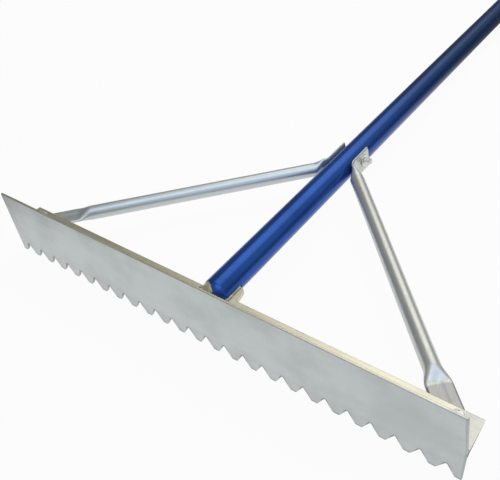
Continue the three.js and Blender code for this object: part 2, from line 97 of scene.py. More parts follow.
class Pick(Enum):
    """What a selection in edit mode is made of."""

    VERTICES = (True, False, False)
    EDGES = (False, True, False)
    FACES = (False, False, True)


class Axis(Enum):
    """An axis of the row frame."""

    X = (1.0, 0.0, 0.0)
    Y = (0.0, 1.0, 0.0)
    Z = (0.0, 0.0, 1.0)

    @property
    def vector(self) -> Vector:
        """The axis as a unit vector."""
        return Vector(self.value)


class Side(Enum):
    """The two sides of the handle, with the sign of X there."""

    LEFT = -1
    RIGHT = 1

    @property
    def label(self) -> str:
        """The side's name as the nodes use it."""
        return self.name.lower()


def xyz(x: float = 0.0, y: float = 0.0, z: float = 0.0) -> Vector:
    """Gives a vector from those of its parts that aren't 0."""
    return Vector((x, y, z))


def near(value: float, other: float) -> bool:
    """Tells whether two lengths are the same to within a touch."""
    return abs(value - other) < TOUCH


def spread(start: float, length: float, steps: int) -> list[float]:
    """Gives evenly spread values from a start over a length, with both ends."""
    return [start + length * i / steps for i in range(steps + 1)]


def ease(value: float, first: float, last: float) -> float:
    """Eases from 0 to 1 between two values."""
    share = min(1.0, max(0.0, (value - first) / (last - first)))
    return share * share * (3 - 2 * share)


def round_over(radius: float, top: float, edge: float, steps: int) -> Profile:
    """Gives a lathe profile that rounds a cylinder's top edge.

    Args:
        radius: The cylinder's radius.
        top: The height of its top.
        edge: The rounding's radius.
        steps: How many faces it has.

    Returns:
        Radius and height of each ring, from the side to the top.
    """
    turns = [i / steps * QUARTER for i in range(steps + 1)]
    return [(radius - edge * (1 - math.cos(t)), top - edge * (1 - math.sin(t))) for t in turns]


def clear_selection() -> None:
    """Deselects every object, so that an operator acts on one piece only."""
    for shown in bpy.context.view_layer.objects:
        shown.select_set(False)


class Blank:
    """One mesh on the bench: shaped in edit mode, then finished with modifiers."""

    def __init__(self, body: bpy.types.Object, name: str) -> None:
        """Takes a mesh object onto the bench and names it."""
        self.body = body
        self.body.name = name
        self.body.data.name = name

    @classmethod
    def start(cls, name: str, primitive: Callable[..., object], **sizes: object) -> Blank:
        """Starts from a primitive.

        Args:
            name: The piece's name.
            primitive: The operator that adds it.
            **sizes: The operator's settings.

        Returns:
            The piece, with its place applied.
        """
        clear_selection()
        primitive(**sizes)
        made = cls(bpy.context.object, name)
        made.settle()
        return made

    @classmethod
    def block(cls, name: str, low: Vector, high: Vector) -> Blank:
        """Starts from a cube primitive, sized to fill a box.

        Args:
            name: The piece's name.
            low: The box's lowest corner.
            high: The box's highest corner.

        Returns:
            The block.
        """
        clear_selection()
        bpy.ops.mesh.primitive_cube_add(size=1.0, location=(low + high) / 2)
        made = cls(bpy.context.object, name)
        made.body.scale = high - low
        made.settle()
        return made

    @classmethod
    def turned(cls, name: str, profile: Profile, sides: int) -> Blank:
        """Turns a closed piece about Z, ring by ring, from a disc.

        Args:
            name: The piece's name.
            profile: Radius and height of each ring, from the bottom up.
            sides: How many sides each ring has.

        Returns:
            The turned piece.
        """
        radius, height = profile[0]
        disc = {"vertices": sides, "radius": radius, "location": (0, 0, height)}
        made = cls.start(name, bpy.ops.mesh.primitive_circle_add, fill_type="NGON", **disc)
        with made.shaping():
            bpy.ops.mesh.select_all(action="SELECT")
            for next_radius, next_height in profile[1:]:
                made.extrude(xyz(z=next_height - height))
                growth = next_radius / radius
                made.resize((growth, growth, 1.0), xyz(z=next_height))
                radius, height = next_radius, next_height
        made.face_outwards()
        return made

    def activate(self) -> None:
        """Selects the piece alone, so that the next operator acts on it."""
        clear_selection()
        self.body.select_set(True)
        bpy.context.view_layer.objects.active = self.body

    @contextmanager
    def shaping(self) -> Iterator[None]:
        """Opens the piece in edit mode, and closes it again.

        Yields:
            Nothing: the piece is in edit mode meanwhile.
        """
        self.activate()
        bpy.ops.object.mode_set(mode="EDIT")
        try:
            yield
        finally:
            bpy.ops.object.mode_set(mode="OBJECT")

    def pick(self, test: Test, kind: Pick = Pick.VERTICES) -> int:
        """Selects vertices, edges or faces by where they are and how they face.

        Args:
            test: Takes a place and a direction: an edge's own, or the normal of the rest.
            kind: What to select.

        Returns:
            How many were selected.
        """
        bpy.context.tool_settings.mesh_select_mode = kind.value
        mesh = bmesh.from_edit_mesh(self.body.data)
        for parts in (mesh.verts, mesh.edges, mesh.faces):
            for part in parts:
                part.select = False
        if kind is Pick.VERTICES:
            chosen = [v for v in mesh.verts if test(v.co, v.normal)]
        elif kind is Pick.FACES:
            chosen = [f for f in mesh.faces if test(f.calc_center_median(), f.normal)]
        else:
            ends = [(edge, edge.verts[0].co, edge.verts[1].co) for edge in mesh.edges]
            chosen = [e for e, a, b in ends if test((a + b) / 2, (b - a).normalized())]
        for part in chosen:
            part.select_set(True)
        mesh.select_flush_mode()
        bmesh.update_edit_mesh(self.body.data)
        return len(chosen)

    def extrude(self, move: Vector) -> None:
        """Extrudes the selection by a move."""
        bpy.ops.mesh.extrude_region_move(TRANSFORM_OT_translate={"value": move})

    def resize(self, factors: Sequence[float], centre: Vector) -> None:
        """Scales the selection along X, Y and Z about a centre."""
        bpy.ops.transform.resize(value=factors, center_override=centre)

    def move(self, step: Vector) -> None:
        """Moves the selection."""
        bpy.ops.transform.translate(value=step)

    def turn(self, angle: float, centre: Vector, about: str = "Z") -> None:
        """Turns the selection about an axis, anticlockwise seen from its tip, round a centre."""
        bpy.ops.transform.rotate(value=-angle, orient_axis=about, center_override=centre)

    def bevel(self, width: float, steps: int) -> None:
        """Rounds the selected edges."""
        bpy.ops.mesh.bevel(offset=width, segments=steps, affect="EDGES", clamp_overlap=True)

    def slice(self, axis: Axis, at: float) -> None:
        """Cuts an edge loop through the whole piece, square to an axis."""
        bpy.ops.mesh.select_all(action="SELECT")
        bpy.ops.mesh.bisect(plane_co=axis.vector * at, plane_no=axis.vector)

    def merge(self, distance: float) -> None:
        """Merges vertices that are nearer than a distance, in edit mode."""
        bpy.ops.mesh.select_all(action="SELECT")
        bpy.ops.mesh.remove_doubles(threshold=distance)

    def face_outwards(self) -> None:
        """Merges doubled vertices and turns every face outwards."""
        with self.shaping():
            self.merge(DOUBLED)
            bpy.ops.mesh.normals_make_consistent(inside=False)

    def modify(self, kind: str, **settings: object) -> None:
        """Adds a modifier with its settings, and applies it.

        Args:
            kind: The modifier's type.
            **settings: Its properties.
        """
        self.activate()
        added = self.body.modifiers.new(kind.lower(), kind)
        for key, value in settings.items():
            setattr(added, key, value)
        bpy.ops.object.modifier_apply(modifier=added.name)

    def combine(self, other: Blank, operation: str) -> None:
        """Cuts, joins or crosses the piece with another, which is used up."""
        self.modify("BOOLEAN", operation=operation, object=other.body, solver="EXACT")
        bpy.data.objects.remove(other.body)

    def settle(self) -> None:
        """Applies the object's place, turn and scale to its mesh."""
        self.activate()
        bpy.ops.object.transform_apply(location=True, rotation=True, scale=True)

    def place(self, matrix: Matrix) -> None:
        """Sets the piece in its place, and applies that to its mesh."""
        self.body.matrix_world = matrix
        self.settle()

    def copy(self, name: str) -> Blank:
        """Makes a copy, under another name, with a mesh of its own."""
        self.activate()
        bpy.ops.object.duplicate(linked=False)
        return Blank(bpy.context.object, name)

    def smooth(self, degrees: float) -> None:
        """Shades the piece smooth, with edges sharper than an angle kept."""
        self.activate()
        bpy.ops.object.shade_smooth_by_angle(angle=math.radians(degrees))

    def finish(self, material: bpy.types.Material, slot: str, *nodes: str) -> None:
        """Dresses the piece and puts it in place of its CAD nodes.

        Args:
            material: The piece's material.
            slot: The record's material slot; not used.
            *nodes: The CAD nodes that the piece stands for.
        """
        self.body.data.materials.clear()
        self.body.data.materials.append(material)
        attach(self.body, BODY)
        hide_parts(*nodes)
        log.info("%s: %d faces", self.body.name, len(self.body.data.polygons))


class Signal:
    """A node's output, which adds, subtracts and multiplies as a number does."""

    def __init__(self, graph: Graph, socket: bpy.types.NodeSocket) -> None:
        """Takes the graph and the output."""
        self.graph = graph
        self.socket = socket

    def __add__(self, other: Signal | float) -> Signal:
        """Adds a value."""
        return self.graph.math("ADD", self, other)

    def __sub__(self, other: Signal | float) -> Signal:
        """Takes a value away."""
        return self.graph.math("SUBTRACT", self, other)

    def __rsub__(self, other: float) -> Signal:
        """Takes the signal away from a number."""
        return self.graph.math("SUBTRACT", other, self)

    def __mul__(self, other: Signal | float) -> Signal:
        """Multiplies by a value."""
        return self.graph.math("MULTIPLY", self, other)


class Graph:
    """A node tree with short ways to add and link its nodes."""

    def __init__(self, tree: bpy.types.NodeTree) -> None:
        """Takes the tree of a material, a world or a group, and empties it."""
        self.tree = tree
        self.tree.nodes.clear()

    def join(self, source: object, target: bpy.types.NodeSocket) -> None:
        """Links a signal or an output to an input, or sets a plain value on it.

        Args:
            source: The signal, the output, or the value.
            target: The input.
        """
        if isinstance(source, Signal):
            source = source.socket
        if isinstance(source, bpy.types.NodeSocket):
            self.tree.links.new(source, target)
        elif target.type == "RGBA":
            target.default_value = (*source, 1.0)
        else:
            target.default_value = source

    def add(
        self, kind: str, inputs: Mapping[str | int, object] | None = None, **settings: object
    ) -> bpy.types.Node:
        """Adds a node.

        Args:
            kind: The node's type.
            inputs: What its inputs get, by name or number.
            **settings: Its properties.

        Returns:
            The node.
        """
        made = self.tree.nodes.new(kind)
        for key, value in settings.items():
            setattr(made, key, value)
        for place, value in (inputs or {}).items():
            self.join(value, made.inputs[place])
        return made

    def signal(
        self, kind: str, output: str | int, inputs: Mapping[str | int, object], **settings: object
    ) -> Signal:
        """Adds a node as add does, and gives one of its outputs."""
        return Signal(self, self.add(kind, inputs, **settings).outputs[output])

    def math(self, operation: str, *values: Signal | float) -> Signal:
        """Adds a Math node that works on the values, in their order."""
        inputs = dict(enumerate(values))
        return self.signal("ShaderNodeMath", 0, inputs, operation=operation)

    def vector(self, operation: str, output: str, *values: object) -> Signal:
        """Adds a Vector Math node that works on the values, and gives the named output."""
        inputs = dict(enumerate(values))
        return self.signal("ShaderNodeVectorMath", output, inputs, operation=operation)

    def split(self, vector: Signal) -> list[Signal]:
        """Gives a vector's X, Y and Z."""
        made = self.add("ShaderNodeSeparateXYZ", {0: vector})
        return [Signal(self, output) for output in made.outputs]

    def remap(
        self, value: Signal, low: float, high: float, new: tuple[float, float] = (0.0, 1.0)
    ) -> Signal:
        """Maps a range of values to another, smoothly and clamped.

        Args:
            value: The value to map.
            low: What becomes the new range's start.
            high: What becomes its end.
            new: The new range.

        Returns:
            The mapped value.
        """
        inputs = {"Value": value, "From Min": low, "From Max": high}
        inputs |= {"To Min": new[0], "To Max": new[1]}
        return self.signal("ShaderNodeMapRange", "Result", inputs, interpolation_type="SMOOTHSTEP")

    def blend(self, mask: Signal, first: Signal | Triple, second: Signal | Triple) -> Signal:
        """Mixes two colours: where the mask is 0 the first shows, and where it is 1 the second."""
        return self.signal("ShaderNodeMix", 2, {0: mask, 6: first, 7: second}, data_type="RGBA")

    def noise(
        self, place: Signal, scale: Signal | float, detail: float, rough: float = 0.5
    ) -> Signal:
        """Adds a noise texture.

        Args:
            place: The coordinates.
            scale: How many features there are to a metre.
            detail: How many finer layers it has.
            rough: How strong those layers are.

        Returns:
            The noise, from 0 to 1.
        """
        inputs = {"Vector": place, "Scale": scale, "Detail": detail, "Roughness": rough}
        return self.signal("ShaderNodeTexNoise", "Fac", inputs)


class Effect(Enum):
    """The effects that finishes are made of, by the names of their node groups."""

    STREAKS = "drawn_streaks"
    PATCHES = "soft_patches"
    SPECKS = "fine_specks"
    SPANGLE = "zinc_spangle"
    PEEL = "orange_peel"


class SharedEffects:
    """The effects' node groups, each built once."""

    def __init__(self) -> None:
        """Builds every group, with its inputs and their usual values."""
        self.groups = {
            Effect.STREAKS: self.build(
                Effect.STREAKS, self.streaks, Stretch=(1.0, 1.0, 1.0), Scale=600.0
            ),
            Effect.PATCHES: self.build(Effect.PATCHES, self.patches, Scale=20.0, Cover=0.5),
            Effect.SPECKS: self.build(Effect.SPECKS, self.specks, Scale=900.0, Size=0.2),
            Effect.SPANGLE: self.build(Effect.SPANGLE, self.spangle, Scale=200.0),
            Effect.PEEL: self.build(Effect.PEEL, self.peel, Scale=700.0),
        }

    def build(
        self, effect: Effect, recipe: Callable[..., Signal], **inputs: object
    ) -> bpy.types.NodeTree:
        """Builds one group with named inputs and one output, Mask.

        Args:
            effect: The effect.
            recipe: Takes the group's graph and its inputs, and gives the mask.
            **inputs: Each input after Place: a number, or a triple for a vector.

        Returns:
            The group.
        """
        tree = bpy.data.node_groups.new(effect.value, "ShaderNodeTree")
        for label, value in {"Place": (0.0, 0.0, 0.0), **inputs}.items():
            kind = "NodeSocketVector" if isinstance(value, tuple) else "NodeSocketFloat"
            made = tree.interface.new_socket(label, in_out="INPUT", socket_type=kind)
            made.default_value = value
        tree.interface.new_socket("Mask", in_out="OUTPUT", socket_type="NodeSocketFloat")
        graph = Graph(tree)
        given = graph.add("NodeGroupInput").outputs
        signals = [Signal(graph, given[label]) for label in ("Place", *inputs)]
        graph.add("NodeGroupOutput", {"Mask": recipe(graph, *signals)})
        return tree

    def streaks(self, graph: Graph, place: Signal, stretch: Signal, scale: Signal) -> Signal:
        """Draws lines out in one direction, as a die or a roller leaves them.

        Args:
            graph: The group's graph.
            place: The coordinates.
            stretch: What they are multiplied by.
            scale: How many lines there are to a metre.

        Returns:
            The mask.
        """
        drawn = graph.vector("MULTIPLY", "Vector", place, stretch)
        fine = graph.noise(drawn, scale, 3.0, 0.6)
        wide = graph.noise(drawn, scale * 0.13, 2.0)
        return graph.remap(fine * 0.6 + wide * 0.4, 0.3, 0.7)

    def patches(self, graph: Graph, place: Signal, scale: Signal, cover: Signal) -> Signal:
        """Spreads soft uneven patches, such as handling marks and stains."""
        wide = graph.noise(place, scale, 5.0, 0.6)
        return graph.remap(wide - (1.0 - cover) * 0.7, 0.05, 0.3)

    def specks(self, graph: Graph, place: Signal, scale: Signal, size: Signal) -> Signal:
        """Scatters small ragged specks, such as dust, pits and spatter.

        Args:
            graph: The group's graph.
            place: The coordinates.
            scale: How many specks there are to a metre.
            size: How large they are, as a share of their distance.

        Returns:
            The mask.
        """
        cells = {"Vector": place, "Scale": scale}
        away = graph.signal("ShaderNodeTexVoronoi", "Distance", cells)
        ragged = graph.noise(place, scale * 0.4, 2.0)
        return graph.remap(size * ragged - away, 0.0, 0.05)

    def spangle(self, graph: Graph, place: Signal, scale: Signal) -> Signal:
        """Lays zinc crystals side by side, each of one tone."""
        cells = {"Vector": place, "Scale": scale}
        tones = graph.signal("ShaderNodeTexVoronoi", "Color", cells)
        return graph.signal("ShaderNodeSeparateColor", 0, {0: tones})

    def peel(self, graph: Graph, place: Signal, scale: Signal) -> Signal:
        """Makes the fine waves of a baked coat."""
        return graph.noise(place, scale, 2.0)


@dataclass(frozen=True)
class Mark:
    """One kind of mark on a finish, such as wear, pits or dust.

    Attributes:
        effect: The effect that spreads it.
        scale: How many features there are to a metre.
        shape: The effect's other inputs.
        colour: Its colour.
        tint: How strongly it colours the surface.
        rough: How much it roughens the surface.
        height: How far it stands out in the bump, or lies in it below 0.
    """

    effect: Effect
    scale: float
    shape: Mapping[str, object] = field(default_factory=dict)
    colour: Triple = (0.0, 0.0, 0.0)
    tint: float = 0.0
    rough: float = 0.0
    height: float = 0.0


class Coat(Graph):
    """A material in the making, with the colour, roughness and height that it has so far."""

    def __init__(self, finish: Finish, shared: SharedEffects) -> None:
        """Starts the material with its shader and its object coordinates.

        Args:
            finish: The finish that it is to have.
            shared: The effects' node groups.
        """
        self.material = bpy.data.materials.new(finish.name)
        self.material.use_nodes = True
        super().__init__(self.material.node_tree)
        self.groups = shared.groups
        fixed = {"Metallic": finish.metallic, "Specular IOR Level": finish.specular}
        self.shader = self.add("ShaderNodeBsdfPrincipled", fixed)
        self.add("ShaderNodeOutputMaterial", {"Surface": self.shader.outputs["BSDF"]})
        self.place = self.signal("ShaderNodeTexCoord", "Object", {})
        self.colour: Signal | Triple = finish.colour
        self.rough: Signal | float = finish.roughness
        self.height: Signal | float = 0.0

    def mask(self, mark: Mark) -> Signal:
        """Gives where a kind of mark is, from 0 to 1."""
        inputs = {"Place": self.place, "Scale": mark.scale, **mark.shape}
        return self.signal("ShaderNodeGroup", "Mask", inputs, node_tree=self.groups[mark.effect])

    def layer(self, mask: Signal, colour: Signal | Triple) -> None:
        """Lays a colour over what is there, where a mask lets it."""
        self.colour = self.blend(mask, self.colour, colour)

    def lay(self, marks: Sequence[Mark]) -> None:
        """Lays kinds of marks one over the other.

        Args:
            marks: The marks, the lowest first.
        """
        for mark in marks:
            mask = self.mask(mark)
            if mark.tint:
                self.layer(mask * mark.tint, mark.colour)
            if mark.rough:
                self.rough = mask * mark.rough + self.rough
            if mark.height:
                self.height = mask * mark.height + self.height

    def close(self, strength: float, depth: float) -> bpy.types.Material:
        """Wires what the coat has to the shader.

        Args:
            strength: The bump's strength.
            depth: The bump's depth.

        Returns:
            The material.
        """
        relief = {"Strength": strength, "Distance": depth, "Height": self.height}
        normal = self.signal("ShaderNodeBump", "Normal", relief)
        wired = {"Base Color": self.colour, "Roughness": self.rough, "Normal": normal}
        for name, value in wired.items():
            self.join(value, self.shader.inputs[name])
        return self.material


@dataclass(frozen=True)
class Finish:
    """What every finish has: a name, a shader's plain values, marks and a bump."""

    name: str
    colour: Triple
    roughness: float
    metallic: float
    marks: tuple[Mark, ...]
    bump: float
    depth: float
    specular: float = 0.5
    last_marks: tuple[Mark, ...] = ()

    def build(self, shared: SharedEffects, head: Head) -> bpy.types.Material:
        """Builds the material.

        Args:
            shared: The effects' node groups.
            head: The head, which places what is found in one spot only.

        Returns:
            The material.
        """
        coat = Coat(self, shared)
        coat.lay(self.marks)
        self.add_spots(coat, head)
        coat.lay(self.last_marks)
        return coat.close(self.bump, self.depth)

    def add_spots(self, coat: Coat, head: Head) -> None:
        """Adds what is found in one spot only: on most finishes, nothing."""


@dataclass(frozen=True)
class MillAluminium(Finish):
    """Extruded aluminium: die lines along the bar, dull patches, painted light on the flange and
    painted shade on the cut edges.
    """

    name: str = "mill_aluminium"
    colour: Triple = (0.57, 0.605, 0.605)
    roughness: float = 0.35
    metallic: float = 0.9
    marks: tuple[Mark, ...] = (
        Mark(Effect.PATCHES, 14.0, {"Cover": 0.5}, DULL_METAL, 0.55, 0.09),
        Mark(Effect.STREAKS, 900.0, {"Stretch": (0.012, 1.0, 1.0)}, DULL_METAL, 0.16, 0.07, 1.0),
    )
    last_marks: tuple[Mark, ...] = (
        Mark(Effect.SPECKS, 420.0, {"Size": 0.24}, (0.3, 0.28, 0.22), 0.5, height=-0.8),
    )
    bump: float = 0.25
    depth: float = 0.05 * MM
    # Painted light on the up-facing flange and top edge: a warm tone, darker to the left, paling
    # to a painted highlight on the right, greyer at the very end.
    flange_left: Triple = (0.66, 0.63, 0.49)
    flange_highlight_right: Triple = (0.9, 0.88, 0.76)
    flange_end: Triple = (0.7, 0.7, 0.67)
    end_reach: tuple[float, float] = (30 * MM, 15 * MM)
    behind: tuple[float, float] = (0.0, 4 * MM)
    above_flange: tuple[float, float] = (8 * MM, 1 * MM)
    below_top: tuple[float, float] = (0.9 * MM, 0.3 * MM)
    highlight_falloff: float = 3.5
    # Painted shade along the punched tooth outline and the blade's ends.
    cut_edge_shade: Triple = (0.3, 0.32, 0.32)
    rim: tuple[float, float] = (2.4 * MM, 0.8 * MM)
    edge_shade_at_ends: float = 0.45

    def add_spots(self, coat: Coat, head: Head) -> None:
        """Paints light on the flange as a warm tone that pales to a highlight at the right, and
        paints shade along the cut edges.

        Args:
            coat: The material in the making.
            head: The head, for its sizes.
        """
        x, y, z = coat.split(coat.place)
        behind = coat.remap(y, *(head.rear + reach for reach in self.behind))
        low = coat.remap(z, *(head.flange_top + rise for rise in self.above_flange))
        top = coat.remap(z, *(head.blade_height - drop for drop in self.below_top))
        highlight_share = coat.math("POWER", coat.remap(x, -head.half, head.half), self.highlight_falloff)
        flange = coat.blend(highlight_share, self.flange_left, self.flange_highlight_right)
        end = coat.remap(x, *(head.half - reach for reach in self.end_reach))
        flange = coat.blend(end, flange, self.flange_end)
        # painted light: the up-facing flange and the blade's top edge take the warm tone and its
        # painted highlight
        coat.layer(coat.math("MAXIMUM", behind * low, top), flange)
        # painted shade: a dark band along the tooth outline and the ends, in front of the flange
        along = coat.math("PINGPONG", x, head.pitch / 2)
        valley = (head.pitch - head.valley_flat) / 2
        outline = coat.remap(along, head.tip_flat / 2, valley, (0.0, head.tooth_depth))
        setback = coat.remap(z, head.flange_top, head.blade_height, (0.0, head.right_setback))
        inset = coat.math("MINIMUM", x + head.half, head.half - x - setback)
        ends = coat.remap(inset, *self.rim, (0.0, self.edge_shade_at_ends))
        rim = coat.math("MAXIMUM", ends, coat.remap(z - outline, *self.rim))
        coat.layer(rim * (1.0 - behind), self.cut_edge_shade)


@dataclass(frozen=True)
class PowderCoat(Finish):
    """Blue powder coat: a fine orange peel, faint rubs, dust, and painted shade on the far handle
    and round its rim.
    """

    name: str = "blue_powder_coat"
    colour: Triple = (0.026, 0.098, 0.42)
    roughness: float = 0.18
    metallic: float = 0.6
    specular: float = 0.22
    marks: tuple[Mark, ...] = (
        Mark(Effect.PATCHES, 9.0, {"Cover": 0.5}, (0.019, 0.07, 0.32), 0.7),
        Mark(Effect.STREAKS, 260.0, {"Stretch": (1.0, 0.02, 1.0)}, RUBBED_BLUE, 0.08, 0.08),
        Mark(Effect.SPECKS, 300.0, {"Size": 0.16}, RUBBED_BLUE, 0.25, 0.2),
        Mark(Effect.PEEL, 700.0, height=1.0),
    )
    bump: float = 0.12
    depth: float = 0.05 * MM
    # Painted shade: the blue that the far handle and the rim darken towards.
    shade_blue: Triple = (0.01, 0.036, 0.1)
    far_shade_share: float = 0.8
    far: tuple[float, float] = (0.25, 0.75)
    # Painted shade at the rim, where the surface turns from the view: darker blue and less metal.
    rim: tuple[float, float] = (0.7, 1.0)
    rim_shade_metal_loss: float = 0.8
    scorched: Triple = (0.88, 0.8, 0.56)
    scorch_place: Triple = (-6.5 * MM, 31 * MM, 7 * MM)
    scorch_radius: tuple[float, float] = (12.2 * MM, 11.0 * MM)
    scorch_edge: Mark = Mark(Effect.PATCHES, 160.0, {"Cover": 0.5}, height=1.5 * MM)
    scorch_rough: float = 0.15

    def add_spots(self, coat: Coat, head: Head) -> None:
        """Paints shade on the far handle and round its rim, and burns the coat off by the weld.

        Args:
            coat: The material in the making.
            head: The head, whose weld has scorched the nose's left front.
        """
        # painted shade: the handle darkens towards its far end
        far = coat.remap(coat.split(coat.place)[1], *(head.front + reach for reach in self.far))
        coat.layer(far * self.far_shade_share, self.shade_blue)
        # painted shade: the rim, turned from the view, goes dark blue and less metallic
        facing = coat.signal("ShaderNodeLayerWeight", "Facing", {"Blend": 0.5})
        rim = coat.remap(facing, *self.rim)
        coat.layer(rim, self.shade_blue)
        middle = Vector(self.scorch_place) + xyz(y=head.front, z=head.flange_top)
        away = coat.vector("DISTANCE", "Value", coat.place, middle)
        ragged = coat.mask(self.scorch_edge) * self.scorch_edge.height
        burnt = coat.remap(away + ragged, *self.scorch_radius)
        coat.layer(burnt, self.scorched)
        coat.rough = burnt * self.scorch_rough + coat.rough
        metal = (1.0 - rim * self.rim_shade_metal_loss) * self.metallic
        coat.join(metal, coat.shader.inputs["Metallic"])


@dataclass(frozen=True)
class Galvanised(Finish):
    """Galvanised tube: zinc spangle, pits, white bloom, painted shade on the right brace's flat
    and a painted blue reflection on the left brace.
    """

    name: str = "galvanised_steel"
    colour: Triple = (0.68, 0.7, 0.67)
    roughness: float = 0.3
    metallic: float = 0.65
    marks: tuple[Mark, ...] = (
        Mark(Effect.SPANGLE, 190.0, {}, DARK_ZINC, 0.25, 0.06, 1.0),
        Mark(Effect.PATCHES, 40.0, {"Cover": 0.4}, (0.74, 0.75, 0.73), 0.25, 0.06),
        Mark(Effect.SPECKS, 600.0, {"Size": 0.25}, DARK_ZINC, 0.25, height=-1.0),
    )
    bump: float = 0.08
    depth: float = 0.03 * MM
    # Painted shade on the right brace's flat round its bolt.
    flat_shade: Triple = (0.42, 0.42, 0.44)
    flat_shade_centre: Triple = (0.0, 0.0, 0.0)
    flat_shade_radius: tuple[float, float] = (46 * MM, 43 * MM)
    # Painted reflection: a blue tint on the left brace.
    blue_reflection: Triple = (0.62, 0.7, 0.76)
    blue_reflection_from: tuple[float, float] = (-5 * MM, -15 * MM)
    blue_reflection_share: float = 0.45

    def add_spots(self, coat: Coat, head: Head) -> None:
        """Paints shade on the right brace's flat round its bolt, and a blue reflection on the left
        brace.
        """
        # painted shade on the right brace's flat, round its bolt
        away = coat.vector("DISTANCE", "Value", coat.place, self.flat_shade_centre)
        coat.layer(coat.remap(away, *self.flat_shade_radius), self.flat_shade)
        # painted reflection: the left brace, past X = -5 mm, takes a blue tint
        x = coat.split(coat.place)[0]
        coat.layer(coat.remap(x, *self.blue_reflection_from, (0.0, self.blue_reflection_share)), self.blue_reflection)


@dataclass(frozen=True)
class ZincPlate(Finish):
    """Bright zinc plate on bolts, nuts and washers, with turned marks and tarnish."""

    name: str = "zinc_plate"
    colour: Triple = (0.78, 0.79, 0.74)
    roughness: float = 0.3
    metallic: float = 0.7
    marks: tuple[Mark, ...] = (
        Mark(Effect.PATCHES, 160.0, {"Cover": 0.45}, TARNISH, 0.5, 0.15),
        Mark(Effect.SPECKS, 1500.0, {"Size": 0.3}, TARNISH, 0.4),
        Mark(Effect.STREAKS, 1800.0, {"Stretch": (1.0, 1.0, 0.3)}, rough=0.06, height=1.0),
    )
    bump: float = 0.2
    depth: float = 0.03 * MM


@dataclass(frozen=True)
class WeldMetal(Finish):
    """As-welded metal: pale crests, tan heat tint and small sooty pits."""

    name: str = "weld_metal"
    colour: Triple = (0.58, 0.56, 0.47)
    roughness: float = 0.34
    metallic: float = 0.85
    marks: tuple[Mark, ...] = (
        Mark(Effect.PATCHES, 110.0, {"Cover": 0.55}, (0.42, 0.34, 0.2), 0.8, 0.2, 1.0),
        Mark(Effect.SPECKS, 800.0, {"Size": 0.3}, (0.2, 0.18, 0.14), 0.7, height=-1.0),
    )
    bump: float = 0.3
    depth: float = 0.1 * MM


@dataclass(frozen=True)
class BlackPlastic(Finish):
    """Moulded black plastic with a fine spark-eroded texture and scuffs."""

    name: str = "black_plastic"
    colour: Triple = (0.014, 0.014, 0.015)
    roughness: float = 0.55
    metallic: float = 0.0
    marks: tuple[Mark, ...] = (
        Mark(Effect.PATCHES, 90.0, {"Cover": 0.35}, (0.06, 0.06, 0.058), 0.6, 0.15),
        Mark(Effect.SPECKS, 1600.0, {"Size": 0.6}, height=1.0),
    )
    bump: float = 0.35
    depth: float = 0.06 * MM


